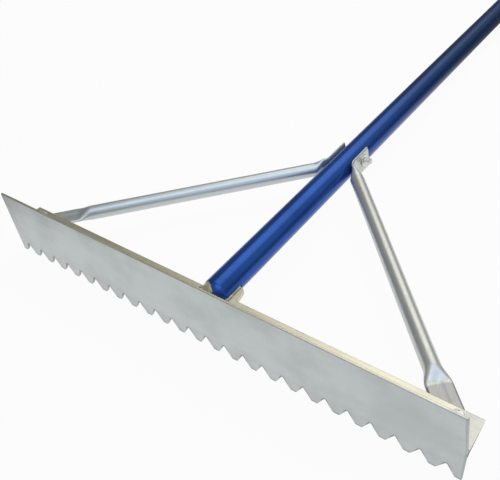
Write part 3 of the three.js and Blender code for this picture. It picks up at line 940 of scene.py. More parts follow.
@dataclass
class Head:
    """The head: one T bar with 24 punched teeth and a tab behind the flange."""

    length: float = 615.6 * MM
    blade_height: float = 92.4 * MM
    blade_thickness: float = 3.0 * MM
    tooth_count: int = 24
    end_land: float = 3.0 * MM
    tooth_depth: float = 14.6 * MM
    tip_flat: float = 7.0 * MM
    tip_radius: float = 1.1 * MM
    valley_flat: float = 1.4 * MM
    valley_radius: float = 0.5 * MM
    flange_top: float = 41.0 * MM
    flange_thickness: float = 4.8 * MM
    flange_depth: float = 42.7 * MM
    root_radius: float = 5.0 * MM
    edge_radius: float = 1.1 * MM
    right_setback: float = 5.0 * MM
    tab_reach: float = 19.0 * MM
    tab_left: float = 20.5 * MM
    tab_right: float = 27.5 * MM
    tab_rear_right: float = 24.5 * MM
    tab_corner: float = 5.0 * MM
    punched_edge: float = 0.35 * MM
    punched_rise: float = 0.5 * MM
    punch_margin: float = 3.0 * MM
    sharp: float = 28.0
    front: float = field(init=False)

    def __post_init__(self) -> None:
        """Reads where the blade's front face stands."""
        self.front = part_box("rake_head")[0].y

    @property
    def half(self) -> float:
        """Half the head's length."""
        return self.length / 2

    @property
    def rear(self) -> float:
        """Where the blade's rear face stands."""
        return self.front + self.blade_thickness

    @property
    def flange_end(self) -> float:
        """Where the flange ends."""
        return self.front + self.flange_depth

    @property
    def tab_end(self) -> float:
        """Where the tab ends."""
        return self.flange_end + self.tab_reach

    @property
    def pitch(self) -> float:
        """The distance from one tooth to the next."""
        return (self.length - 2 * self.end_land) / self.tooth_count

    @property
    def flange_bottom(self) -> float:
        """The height of the flange's lower face."""
        return self.flange_top - self.flange_thickness

    def on_tab(self, place: Vector) -> bool:
        """Tells whether a place lies between the tab's two sides."""
        return -self.tab_left < place.x < self.tab_right

    def bar(self) -> Blank:
        """Shapes the T bar and its tab, with filleted roots and eased edges.

        Returns:
            The bar, before its teeth are punched.
        """
        faces = (self.flange_bottom, self.flange_top)
        low = xyz(-self.half, self.front)
        high = xyz(self.half, self.rear, self.blade_height)
        bar = Blank.block("rake_head_dressed", low, high)
        with bar.shaping():
            for height in faces:
                bar.slice(Axis.Z, height)
            bar.pick(lambda p, n: n.y > FACING and faces[0] < p.z < faces[1], Pick.FACES)
            bar.extrude(xyz(y=self.flange_end - self.rear))
            bar.pick(lambda p, n: near(p.x, self.half) and near(p.z, self.blade_height))
            bar.move(xyz(-self.right_setback))
            for edge in (-self.tab_left, self.tab_right):
                bar.slice(Axis.X, edge)
            bar.pick(
                lambda p, n: n.y > FACING and p.y > self.rear + TOUCH and self.on_tab(p),
                Pick.FACES,
            )
            bar.extrude(xyz(y=self.tab_reach))
            bar.pick(lambda p, n: near(p.y, self.tab_end) and p.x > 0)
            bar.move(xyz(self.tab_rear_right - self.tab_right))
            bar.pick(lambda p, d: abs(d.z) > FACING and near(p.y, self.tab_end), Pick.EDGES)
            bar.bevel(self.tab_corner, 8)
            bar.pick(
                lambda p, d: abs(d.x) > FACING
                and near(p.y, self.rear)
                and any(near(p.z, face) for face in faces),
                Pick.EDGES,
            )
            bar.bevel(self.root_radius, 6)
            bar.pick(
                lambda p, d: abs(d.x) > FACING
                and (
                    near(p.z, self.blade_height)
                    or (near(p.y, self.flange_end) and not self.on_tab(p))
                ),
                Pick.EDGES,
            )
            bar.bevel(self.edge_radius, 4)
        bar.face_outwards()
        return bar

    def punch(self) -> Blank:
        """Shapes what is punched away under and between the teeth.

        Returns:
            One tool with a wedge for each gap.
        """
        start = self.end_land - self.half
        mouth = self.pitch - self.tip_flat
        middle = start + self.pitch / 2
        margin = self.punch_margin
        low = xyz(start, self.front - margin, -2 * margin)
        high = xyz(start + self.pitch, self.rear + margin, 0.0)
        tool = Blank.block("tooth_punch", low, high)
        with tool.shaping():
            for sign in (-1, 1):
                tool.slice(Axis.X, middle + sign * mouth / 2)
            tool.pick(
                lambda p, n: n.z > FACING and abs(p.x - middle) < mouth / 2 - TOUCH, Pick.FACES
            )
            tool.extrude(xyz(z=self.tooth_depth))
            tool.resize((self.valley_flat / mouth, 1.0, 1.0), xyz(middle))
            tool.pick(lambda p, d: abs(d.y) > FACING and near(p.z, self.tooth_depth), Pick.EDGES)
            tool.bevel(self.valley_radius, 4)
            tool.pick(
                lambda p, d: abs(d.y) > FACING
                and near(p.z, 0.0)
                and near(abs(p.x - middle), mouth / 2),
                Pick.EDGES,
            )
            tool.bevel(self.tip_radius, 4)
            tool.pick(lambda p, n: abs(n.x) > FACING and p.z < 0, Pick.FACES)
            bpy.ops.mesh.delete(type="FACE")
        tool.modify(
            "ARRAY",
            count=self.tooth_count,
            use_relative_offset=False,
            use_constant_offset=True,
            constant_offset_displace=(self.pitch, 0.0, 0.0),
            use_merge_vertices=True,
            merge_threshold=WELDED,
        )
        with tool.shaping():
            bpy.ops.mesh.select_all(action="SELECT")
            bpy.ops.mesh.fill_holes(sides=0)
            for side in Side:
                edge = side.value * (self.half - self.end_land)
                tool.pick(lambda p, n: abs(n.x) > FACING and near(p.x, edge), Pick.FACES)
                tool.move(xyz(side.value * (self.end_land + margin)))
        tool.face_outwards()
        return tool

    def make(self, material: bpy.types.Material) -> None:
        """Makes the head, with a fine burr round the punched outline.

        Args:
            material: The head's material.
        """
        head = self.bar()
        head.combine(self.punch(), "DIFFERENCE")
        with head.shaping():
            head.merge(WELDED)
            head.pick(
                lambda p, d: abs(d.y) < 0.01
                and abs(d.z) < 0.999
                and p.z < self.tooth_depth + self.punched_rise
                and any(near(p.y, face) for face in (self.front, self.rear)),
                Pick.EDGES,
            )
            head.bevel(self.punched_edge, 2)
        head.face_outwards()
        head.smooth(self.sharp)
        head.finish(material, "mill_aluminium", "rake_head")


@dataclass
class Handle:
    """The handle: a blue tube with a domed nose, slotted over the head's flange."""

    diameter: float = 34.9 * MM
    length: float = 1813.8 * MM
    end_chamfer: float = 1.0 * MM
    nose_depth: float = 42.0 * MM
    nose_length: float = 15.0 * MM
    nose_height: float = 41.4 * MM
    nose_steps: int = 16
    nose_start: float = math.radians(3)
    slot_margin: float = 2.0 * MM
    slot_past: float = 3.0 * MM
    sides: int = 96
    sharp: float = 35.0
    cap_wall: float = 1.8 * MM
    cap_skirt: float = 24.0 * MM
    cap_edge: float = 1.5 * MM
    cap_end: float = 3.5 * MM
    cap_lip: float = 0.5 * MM
    cap_dish: float = 0.6 * MM
    cap_plug_gap: float = 1.0 * MM
    fit: float = 0.3 * MM
    fall: float = field(init=False)

    def __post_init__(self) -> None:
        """Works out how much the handle falls towards its end, as the CAD model does."""
        reach = self.length + self.fit + self.cap_end - self.cap_edge
        rise = self.nose_height - self.cap_edge
        spread_out = self.diameter / 2 + self.fit + self.cap_wall - self.cap_edge
        turn = math.atan2(spread_out, reach)
        self.fall = math.asin(rise / math.hypot(reach, spread_out)) - turn

    def height_at(self, depth: float) -> float:
        """Gives the axis's height at a distance behind the blade's front face."""
        return self.nose_height - (depth - self.nose_depth) * math.tan(self.fall)

    def turn_out(self, name: str, profile: Profile, head: Head) -> Blank:
        """Turns a piece along the handle's axis.

        Args:
            name: The piece's name.
            profile: Radius and distance along the axis of each ring.
            head: The head, for the place of the blade's front face.

        Returns:
            The piece, in its place.
        """
        piece = Blank.turned(name, profile, self.sides)
        nose = Matrix.Translation((0, head.front + self.nose_depth, self.nose_height))
        piece.place(nose @ Matrix.Rotation(-QUARTER - self.fall, 4, "X"))
        return piece

    def make_tube(self, head: Head, material: bpy.types.Material) -> None:
        """Makes the tube.

        Args:
            head: The head that the tube is slotted over.
            material: The tube's material.
        """
        radius = self.diameter / 2
        turns = spread(self.nose_start, QUARTER - self.nose_start, self.nose_steps)
        profile = [(radius * math.sin(t), -self.nose_length * math.cos(t)) for t in turns]
        chamfer = self.end_chamfer
        profile += [(radius, self.length - chamfer), (radius - chamfer, self.length)]
        tube = self.turn_out("handle_tube_dressed", profile, head)
        wide = radius + self.slot_margin
        low = xyz(-wide, head.front, head.flange_bottom - self.fit)
        high = xyz(wide, head.tab_end + self.slot_past, head.flange_top + self.fit)
        tube.combine(Blank.block("flange_slot", low, high), "DIFFERENCE")
        tube.smooth(self.sharp)
        tube.finish(material, "blue_powder_coat", "handle_tube")

    def make_cap(self, head: Head, material: bpy.types.Material) -> None:
        """Makes the end cap, with a shallow dish in its end.

        Args:
            head: The head, for the place of the blade's front face.
            material: The cap's material.
        """
        radius = self.diameter / 2 + self.fit + self.cap_wall
        start = self.length - self.cap_skirt
        end = self.length + self.fit + self.cap_end
        dish = end - self.cap_dish
        inner = self.diameter / 2 - self.cap_plug_gap
        profile = [(inner, start), (radius - self.cap_lip, start)]
        profile += [(radius, start + self.cap_lip), *round_over(radius, end, self.cap_edge, 6)]
        profile += [(radius * 0.55, end), (radius * 0.5, dish), (radius * 0.05, dish)]
        cap = self.turn_out("handle_end_cap_dressed", profile, head)
        cap.smooth(self.sharp)
        cap.finish(material, "black_plastic", "handle_end_cap")


@dataclass
class Weld:
    """The two beads round the handle's nose, above and below the flange.

    A drop's size wobbles by sines of its number: wobbles holds each one's share, speed and start.
    """

    upper_radius: float = 2.8 * MM
    upper_swell: float = 5.7 * MM
    lower_radius: float = 3.6 * MM
    lower_swell: float = 1.0 * MM
    leg_margin: float = 2.0 * MM
    step: float = 2.4 * MM
    voxel: float = 0.35 * MM
    lean: float = math.radians(-28)
    sharp: float = 60.0
    drop_length: float = 0.6
    drop_height: float = 0.9
    wobbles: tuple[Triple, ...] = ((0.07, 2.1, 0.0), (0.05, 5.3, 1.0))

    def route(self, handle: Handle, head: Head, face: float) -> Route:
        """Walks round the nose at the height of a flange face.

        Args:
            handle: The handle.
            head: The head.
            face: The height of the face.

        Returns:
            Each drop's place, the walk's heading there, and the share of the swell.
        """
        shrink = math.sqrt(1 - ((face - handle.nose_height) / (handle.diameter / 2)) ** 2)
        half = handle.diameter / 2 * shrink
        front = handle.nose_length * shrink
        centre = head.front + handle.nose_depth
        leg_end = head.tab_end - self.leg_margin
        leg = leg_end - centre
        legs = max(2, round(leg / self.step))
        turns = round(math.pi * half / self.step)
        points = []
        for i in range(legs):
            points.append((xyz(half, leg_end - i / legs * leg, face), -QUARTER, 0.0))
        for i in range(turns + 1):
            turn = i / turns * math.pi
            place = xyz(half * math.cos(turn), centre - front * math.sin(turn), face)
            heading = math.atan2(-front * math.cos(turn), -half * math.sin(turn))
            points.append((place, heading, max(0.0, -math.sin(2 * turn))))
        for i in range(1, legs + 1):
            points.append((xyz(-half, centre + i / legs * leg, face), QUARTER, 0.0))
        return points

    def bead(self, name: str, route: Route, radius: float, swell: float) -> Blank:
        """Lays one bead: flattened drops set one over the next, fused and smoothed.

        Args:
            name: The bead's name.
            route: Each drop's place and heading, and its share of the swell.
            radius: The bead's radius along the handle.
            swell: How much more it has half way round the left side of the nose.

        Returns:
            The bead.
        """
        sphere = bpy.ops.mesh.primitive_uv_sphere_add
        bead = Blank.start(name, sphere, segments=24, ring_count=14, radius=1.0)
        drops = [bead, *(bead.copy(f"{name}_drop_{i}") for i in range(1, len(route)))]
        for count, (drop, (place, heading, share)) in enumerate(zip(drops, route)):
            wobble = sum(a * math.sin(speed * count + b) for a, speed, b in self.wobbles)
            size = (radius + swell * share) * (1 + wobble)
            turn = Matrix.Rotation(heading, 4, "Z") @ Matrix.Rotation(self.lean, 4, "Y")
            scale = (self.drop_length * size, size, size * self.drop_height, 1.0)
            drop.place(Matrix.Translation(place) @ turn @ Matrix.Diagonal(scale))
        bead.activate()
        for drop in drops:
            drop.body.select_set(True)
        bpy.ops.object.join()
        bead.modify("REMESH", mode="VOXEL", voxel_size=self.voxel)
        bead.modify("SMOOTH", factor=0.5, iterations=3)
        bead.smooth(self.sharp)
        return bead

    def make(self, handle: Handle, head: Head, material: bpy.types.Material) -> None:
        """Makes both beads.

        Args:
            handle: The handle.
            head: The head.
            material: The weld's material.
        """
        for label, face, radius, swell in (
            ("upper", head.flange_top, self.upper_radius, self.upper_swell),
            ("lower", head.flange_bottom, self.lower_radius, self.lower_swell),
        ):
            name = f"handle_weld_{label}"
            route = self.route(handle, head, face)
            bead = self.bead(f"{name}_dressed", route, radius, swell)
            bead.finish(material, "weld_metal", name)


@dataclass
class Braces:
    """The two braces: round tube pressed flat at both ends, and bent at the handle."""

    diameter: float = 19.05 * MM
    wall: float = 1.5 * MM
    slit: float = 0.3 * MM
    slit_depth: float = 9.0 * MM
    bolt_inset: float = 21.8 * MM
    bolt_depth: float = 28.5 * MM
    handle_depth: float = 343.0 * MM
    head_flat: float = 44.0 * MM
    head_end: float = 15.0 * MM
    head_flare: float = 20.0 * MM
    handle_flat: float = 27.0 * MM
    right_end: float = 13.0 * MM
    left_end: float = 18.0 * MM
    handle_flare: float = 18.0 * MM
    cross_tilt: float = math.radians(10.5)
    bend_radius: float = 12.0 * MM
    bulge: float = 1.9
    pinch: float = 0.55 * MM
    pinch_width: float = 5.0 * MM
    pinch_steps: tuple[tuple[float, float], ...] = ((1.0, 0.45), (0.5, 0.55))
    sides: int = 48
    sharp: float = 32.0
    flare_steps: int = 9
    middle_steps: int = 6
    bend_steps: int = 8
    fit: float = 0.3 * MM
    least_press: float = 0.02
    past_bend: float = 0.2 * MM

    @property
    def flat_thickness(self) -> float:
        """How thick the pressed tube is."""
        return 2 * self.wall + self.slit

    @property
    def flat_width(self) -> float:
        """How wide the pressed tube is: its wall keeps its length."""
        bent = math.pi * (self.diameter - self.flat_thickness) / 2
        return bent + self.flat_thickness

    def bolt_foot(self, head: Head, side: Side) -> Vector:
        """Gives the place on the floor below a side's head bolt."""
        across = side.value * (head.half - self.bolt_inset)
        return xyz(across, head.front + self.bolt_depth)

    def press(self, tube: Blank, at: float, level: float, upright: float, rise: float) -> None:
        """Presses one ring of the straight tube towards flat, and lifts it.

        Args:
            tube: The tube, along Y, in edit mode.
            at: The ring's place along Y.
            level: How flat it is pressed from above, from 0 to 1.
            upright: How flat it is pressed from the sides, from 0 to 1.
            rise: How far it is lifted.
        """
        radius = self.diameter / 2
        flat = max(level, upright)
        lying = level >= upright
        thin, broad = (2, 0) if lying else (0, 2)
        wide = 1 + (self.flat_width / 2 / radius - 1) * flat
        tall = 1 + (self.bulge * self.flat_thickness / 2 / radius - 1) * flat
        limit = radius + (self.flat_thickness / 2 - radius) * flat
        across = Vector((tall, 1.0, tall))
        across[broad] = wide
        tube.pick(lambda p, n: near(p.y, at))
        tube.resize(across, xyz(y=at))
        signs = (-1, 1) if flat > self.least_press else ()
        for sign in signs:
            face = xyz(y=at)
            face[thin] = sign * limit
            level_out = Vector((1.0, 1.0, 1.0))
            level_out[thin] = 0.0
            tube.pick(lambda p, n: near(p.y, at) and sign * p[thin] > limit)
            tube.resize(level_out, face)
            for share, depth in self.pinch_steps:
                reach = self.pinch_width * share
                step = xyz()
                step[thin] = -sign * self.pinch * depth * flat
                if tube.pick(
                    lambda p, n: near(p.y, at) and abs(p[broad]) < reach and sign * p[thin] > 0
                ):
                    tube.move(step)
        tube.pick(lambda p, n: near(p.y, at))
        tube.move(xyz(z=rise))

    def open_end(self, tube: Blank, at: float, inward: float, height: float) -> None:
        """Opens a cut end between its two walls.

        Args:
            tube: The tube, along Y, in edit mode.
            at: The end's place along Y.
            inward: 1 where the tube runs towards +Y from this end, or -1.
            height: The height of the end's middle.
        """
        tube.pick(lambda p, n: near(p.y, at) and n.y * inward < -FACING, Pick.FACES)
        thin = self.slit / self.flat_thickness
        wide = 1 - 2 * self.wall / self.flat_width
        tube.extrude(xyz())
        tube.resize((wide, 1, thin) if inward > 0 else (thin, 1, wide), xyz(0, at, height))
        tube.extrude(xyz(y=inward * self.slit_depth))

    def shape(self, name: str, head: Head, handle: Handle, side: Side) -> Blank:
        """Shapes one side's brace on the right-hand side.

        Args:
            name: Its name.
            head: The head.
            handle: The handle.
            side: The side that it is for.

        Returns:
            The brace, in its place.
        """
        tilt = side.value * self.cross_tilt
        bolt = Vector((head.half - self.bolt_inset, self.bolt_depth))
        reach = handle.diameter / 2 + self.fit + self.flat_thickness / 2
        corner = Vector((reach * math.cos(tilt), self.handle_depth - self.handle_flat))
        lean = math.atan2(corner.y - bolt.y, corner.x - bolt.x)
        bend = lean - QUARTER
        tangent = self.bend_radius * math.tan(bend / 2)
        arc = self.bend_radius * bend
        bend_start = (corner - bolt).length - tangent
        flare_start = bend_start - self.handle_flare
        start = -self.head_end
        plate_bolt = bend_start + arc + self.handle_flat - tangent
        end = plate_bolt + (self.right_end if side is Side.RIGHT else self.left_end)
        low = head.flange_bottom - self.fit - self.flat_thickness / 2
        high = handle.height_at(self.handle_depth) + reach * math.sin(tilt)
        flared = self.head_flat + self.head_flare
        rings = [start, 0.0, *spread(self.head_flat, self.head_flare, self.flare_steps)]
        rings += spread(flared, flare_start - flared, self.middle_steps)[1:-1]
        rings += spread(flare_start, self.handle_flare, self.flare_steps)
        rings += spread(bend_start, arc, self.bend_steps)[1:]
        rings += [plate_bolt, end]
        rod = {"radius": self.diameter / 2, "depth": end - start, "rotation": (QUARTER, 0, 0)}
        rod |= {"vertices": self.sides, "location": (0, (start + end) / 2, 0)}
        tube = Blank.start(name, bpy.ops.mesh.primitive_cylinder_add, **rod)
        with tube.shaping():
            for at in rings[1:-1]:
                tube.slice(Axis.Y, at)
            for at in rings:
                level = 1 - ease(at, self.head_flat, flared)
                rise = low + (high - low) * ease(at, self.head_flat, bend_start)
                self.press(tube, at, level, ease(at, flare_start, bend_start), rise)
            self.open_end(tube, start, 1.0, low)
            self.open_end(tube, end, -1.0, high)
            for at in rings:
                upright = ease(at, flare_start, bend_start)
                if 0 < upright and at < bend_start - TOUCH:
                    rise = low + (high - low) * ease(at, self.head_flat, bend_start)
                    tube.pick(lambda p, n: near(p.y, at))
                    tube.turn(-tilt * upright, xyz(0, at, rise), "Y")
            tube.pick(lambda p, n: p.y > bend_start - TOUCH)
            tube.turn(-tilt, xyz(0, bend_start, high), "Y")
            self.bend(tube, bend_start, arc, bend)
        tube.face_outwards()
        turn = Matrix.Rotation(bend, 4, "Z")
        tube.place(Matrix.Translation((bolt.x, head.front + bolt.y, 0)) @ turn)
        return tube

    def bend(self, tube: Blank, start: float, arc: float, angle: float) -> None:
        """Bends the tube step by step, as a press brake would.

        Args:
            tube: The tube, along Y, in edit mode.
            start: Where the bend starts along Y.
            arc: The bend's length.
            angle: How far it turns clockwise, seen from above.
        """
        swing = -angle / self.bend_steps
        place = xyz(y=start)
        ahead = Axis.Y.vector
        for _ in range(self.bend_steps):
            tube.pick(lambda p, n: (p - place).xy.dot(ahead.xy) > self.past_bend)
            tube.turn(swing, place)
            ahead.rotate(Matrix.Rotation(swing, 3, "Z"))
            place = place + ahead * (arc / self.bend_steps)

    def make(self, head: Head, handle: Handle, material: bpy.types.Material) -> None:
        """Makes both braces.

        Args:
            head: The head.
            handle: The handle.
            material: Their material.
        """
        right = self.shape("brace_right_dressed", head, handle, Side.RIGHT)
        left = self.shape("brace_left_dressed", head, handle, Side.LEFT)
        left.place(Matrix.Diagonal((-1.0, 1.0, 1.0, 1.0)))
        left.face_outwards()
        for brace, node in ((right, "brace_right"), (left, "brace_left")):
            brace.smooth(self.sharp)
            brace.finish(material, "galvanised_steel", node)


@dataclass
class Fasteners:
    """Bolts, nuts and washers: each kind is made once along Z, then copied into place."""

    diameter: float = 8.0 * MM
    across_flats: float = 13.0 * MM
    head_height: float = 5.3 * MM
    corner_fall: float = math.tan(math.radians(30))
    hexagon_edge: float = 0.2 * MM
    nut_height: float = 5.5 * MM
    nut_lead: float = 0.7 * MM
    nut_clearance: float = 0.05 * MM
    collar_height: float = 2.5 * MM
    collar_diameter: float = 12.0 * MM
    collar_edge: float = 1.2 * MM
    bolt_end: float = 1.0 * MM
    washer_diameter: float = 17.0 * MM
    washer_thickness: float = 1.6 * MM
    washer_edge: float = 0.25 * MM
    washer_clearance: float = 0.2 * MM
    thread_pitch: float = 1.25 * MM
    thread_depth: float = 0.55 * MM
    threaded: float = 14.0 * MM
    threaded_share: float = 0.6
    point: tuple[tuple[float, float], ...] = ((1.1 * MM, 0.0), (0.5 * MM, 0.6 * MM))
    first_thread: float = 0.9 * MM
    shank_top: float = 0.5 * MM
    past: float = 1.0 * MM
    sides: int = 48
    sharp: float = 32.0

    def hexagon(self, name: str, height: float, both: bool) -> Blank:
        """Makes a hexagon with turned-off corners, standing on Z = 0.

        Args:
            name: Its name.
            height: Its height.
            both: Whether both ends are turned off, as on a nut.

        Returns:
            The hexagon.
        """
        flat = self.across_flats / 2
        corner = flat / math.cos(math.pi / 6)
        wide = corner + self.past
        drop = (corner - flat) * self.corner_fall + self.past * self.corner_fall
        profile = [(flat, 0.0), (wide, drop)] if both else [(wide, 0.0)]
        profile += [(wide, height - drop), (flat, height)]
        prism = {"vertices": 6, "radius": corner, "depth": height, "location": (0, 0, height / 2)}
        barrel = Blank.turned(f"{name}_barrel", profile, self.sides)
        block = Blank.start(name, bpy.ops.mesh.primitive_cylinder_add, **prism)
        block.combine(barrel, "INTERSECT")
        block.modify("BEVEL", width=self.hexagon_edge, segments=2, limit_method="ANGLE")
        return block

    def bolt(self, name: str, shank: float) -> Blank:
        """Makes a bolt whose head stands on Z = 0 and whose shank hangs below it.

        Args:
            name: Its name.
            shank: The shank's length.

        Returns:
            The bolt.
        """
        radius = self.diameter / 2
        profile = [(radius - inset, -shank + rise) for inset, rise in self.point]
        at = -shank + self.first_thread
        while at < -shank + min(self.threaded, self.threaded_share * shank):
            profile.append((radius, at))
            profile.append((radius - self.thread_depth, at + self.thread_pitch / 2))
            at += self.thread_pitch
        profile += [(radius, at), (radius, self.shank_top)]
        bolt = Blank.turned(name, profile, self.sides)
        bolt.combine(self.hexagon(f"{name}_head", self.head_height, False), "UNION")
        bolt.smooth(self.sharp)
        return bolt

    def nut(self, name: str) -> Blank:
        """Makes a lock nut standing on Z = 0: a hexagon with a round collar on top.

        Args:
            name: Its name.

        Returns:
            The nut.
        """
        nut = self.hexagon(name, self.nut_height, True)
        top = self.nut_height + self.collar_height
        rim = self.collar_diameter / 2
        collar = [(rim, self.nut_height - self.past), *round_over(rim, top, self.collar_edge, 5)]
        nut.combine(Blank.turned(f"{name}_collar", collar, self.sides), "UNION")
        radius = self.diameter / 2 + self.nut_clearance
        lead = self.nut_lead
        mouth = radius + lead + self.past
        bore = [(mouth, -self.past), (radius, lead)]
        bore += [(radius, top - lead), (mouth, top + self.past)]
        nut.combine(Blank.turned(f"{name}_bore", bore, self.sides), "DIFFERENCE")
        nut.smooth(self.sharp)
        return nut

    def washer(self, name: str) -> Blank:
        """Makes a washer lying on Z = 0, with its punched edge eased.

        Args:
            name: Its name.

        Returns:
            The washer.
        """
        outer = self.washer_diameter / 2
        inner = self.diameter / 2 + self.washer_clearance
        thick = self.washer_thickness
        edge = self.washer_edge
        rim = [(outer - edge, 0.0), (outer, edge), (outer, thick - edge), (outer - edge, thick)]
        washer = Blank.turned(name, rim, self.sides)
        bore = [(inner, -self.past), (inner, thick + self.past)]
        washer.combine(Blank.turned(f"{name}_hole", bore, self.sides), "DIFFERENCE")
        washer.smooth(self.sharp)
        return washer

    def make(
        self, head: Head, handle: Handle, braces: Braces, material: bpy.types.Material
    ) -> None:
        """Makes every bolt, nut and washer.

        Args:
            head: The head.
            handle: The handle.
            braces: The braces that they hold.
            material: Their material.
        """
        fit = braces.fit
        past_nut = self.nut_height + self.collar_height + self.bolt_end
        top = head.flange_top + fit
        under_head = top + self.washer_thickness + fit
        low = head.flange_bottom - braces.flat_thickness - 2 * fit
        nut_top = low - self.washer_thickness - fit
        beside = handle.diameter / 2 + braces.flat_thickness + 2 * fit
        outer = beside + self.washer_thickness + fit
        short = self.bolt("short_bolt", under_head - nut_top + past_nut)
        long = self.bolt("long_bolt", 2 * outer + past_nut)
        nut = self.nut("lock_nut")
        washer = self.washer("plain_washer")
        up = Axis.Z.vector
        seats = []
        for side in Side:
            label = side.label
            foot = braces.bolt_foot(head, side)
            seats += [
                (short, f"head_bolt_{label}", foot + up * under_head, up, 0.3),
                (washer, f"head_washer_top_{label}", foot + up * top, up, 0.0),
                (washer, f"head_washer_low_{label}", foot + up * low, -up, 0.0),
                (nut, f"head_nut_{label}", foot + up * nut_top, -up, 0.2),
            ]
        depth = braces.handle_depth
        middle = xyz(0, head.front + depth, handle.height_at(depth))
        right = xyz(math.cos(braces.cross_tilt), 0, math.sin(braces.cross_tilt))
        seats += [
            (long, "cross_bolt", middle - right * outer, -right, 0.4),
            (washer, "cross_washer_left", middle - right * beside, -right, 0.0),
            (washer, "cross_washer_right", middle + right * beside, right, 0.0),
            (nut, "cross_nut", middle + right * outer, right, 0.15),
        ]
        for pattern, node, place, direction, turn in seats:
            piece = pattern.copy(f"{node}_dressed")
            aim = up.rotation_difference(direction).to_matrix().to_4x4()
            piece.place(Matrix.Translation(place) @ aim @ Matrix.Rotation(turn, 4, "Z"))
            piece.finish(material, "zinc_plate", node)
        for pattern in (short, long, nut, washer):
            bpy.data.objects.remove(pattern.body)


@dataclass(frozen=True)
class Panel:
    """One soft-edged panel of the studio, as reflections find it.

    Attributes:
        colour: Its colour.
        aim: The direction to its middle.
        edges: The cosines of the angles from it at which it starts and is full.
    """

    colour: Triple
    aim: Triple
    edges: tuple[float, float]


@dataclass(frozen=True)
class Lamp:
    """One square soft lamp: its place from the head's middle, its side and its power in watts."""

    name: str
    place: Triple
    size: float
    power: float


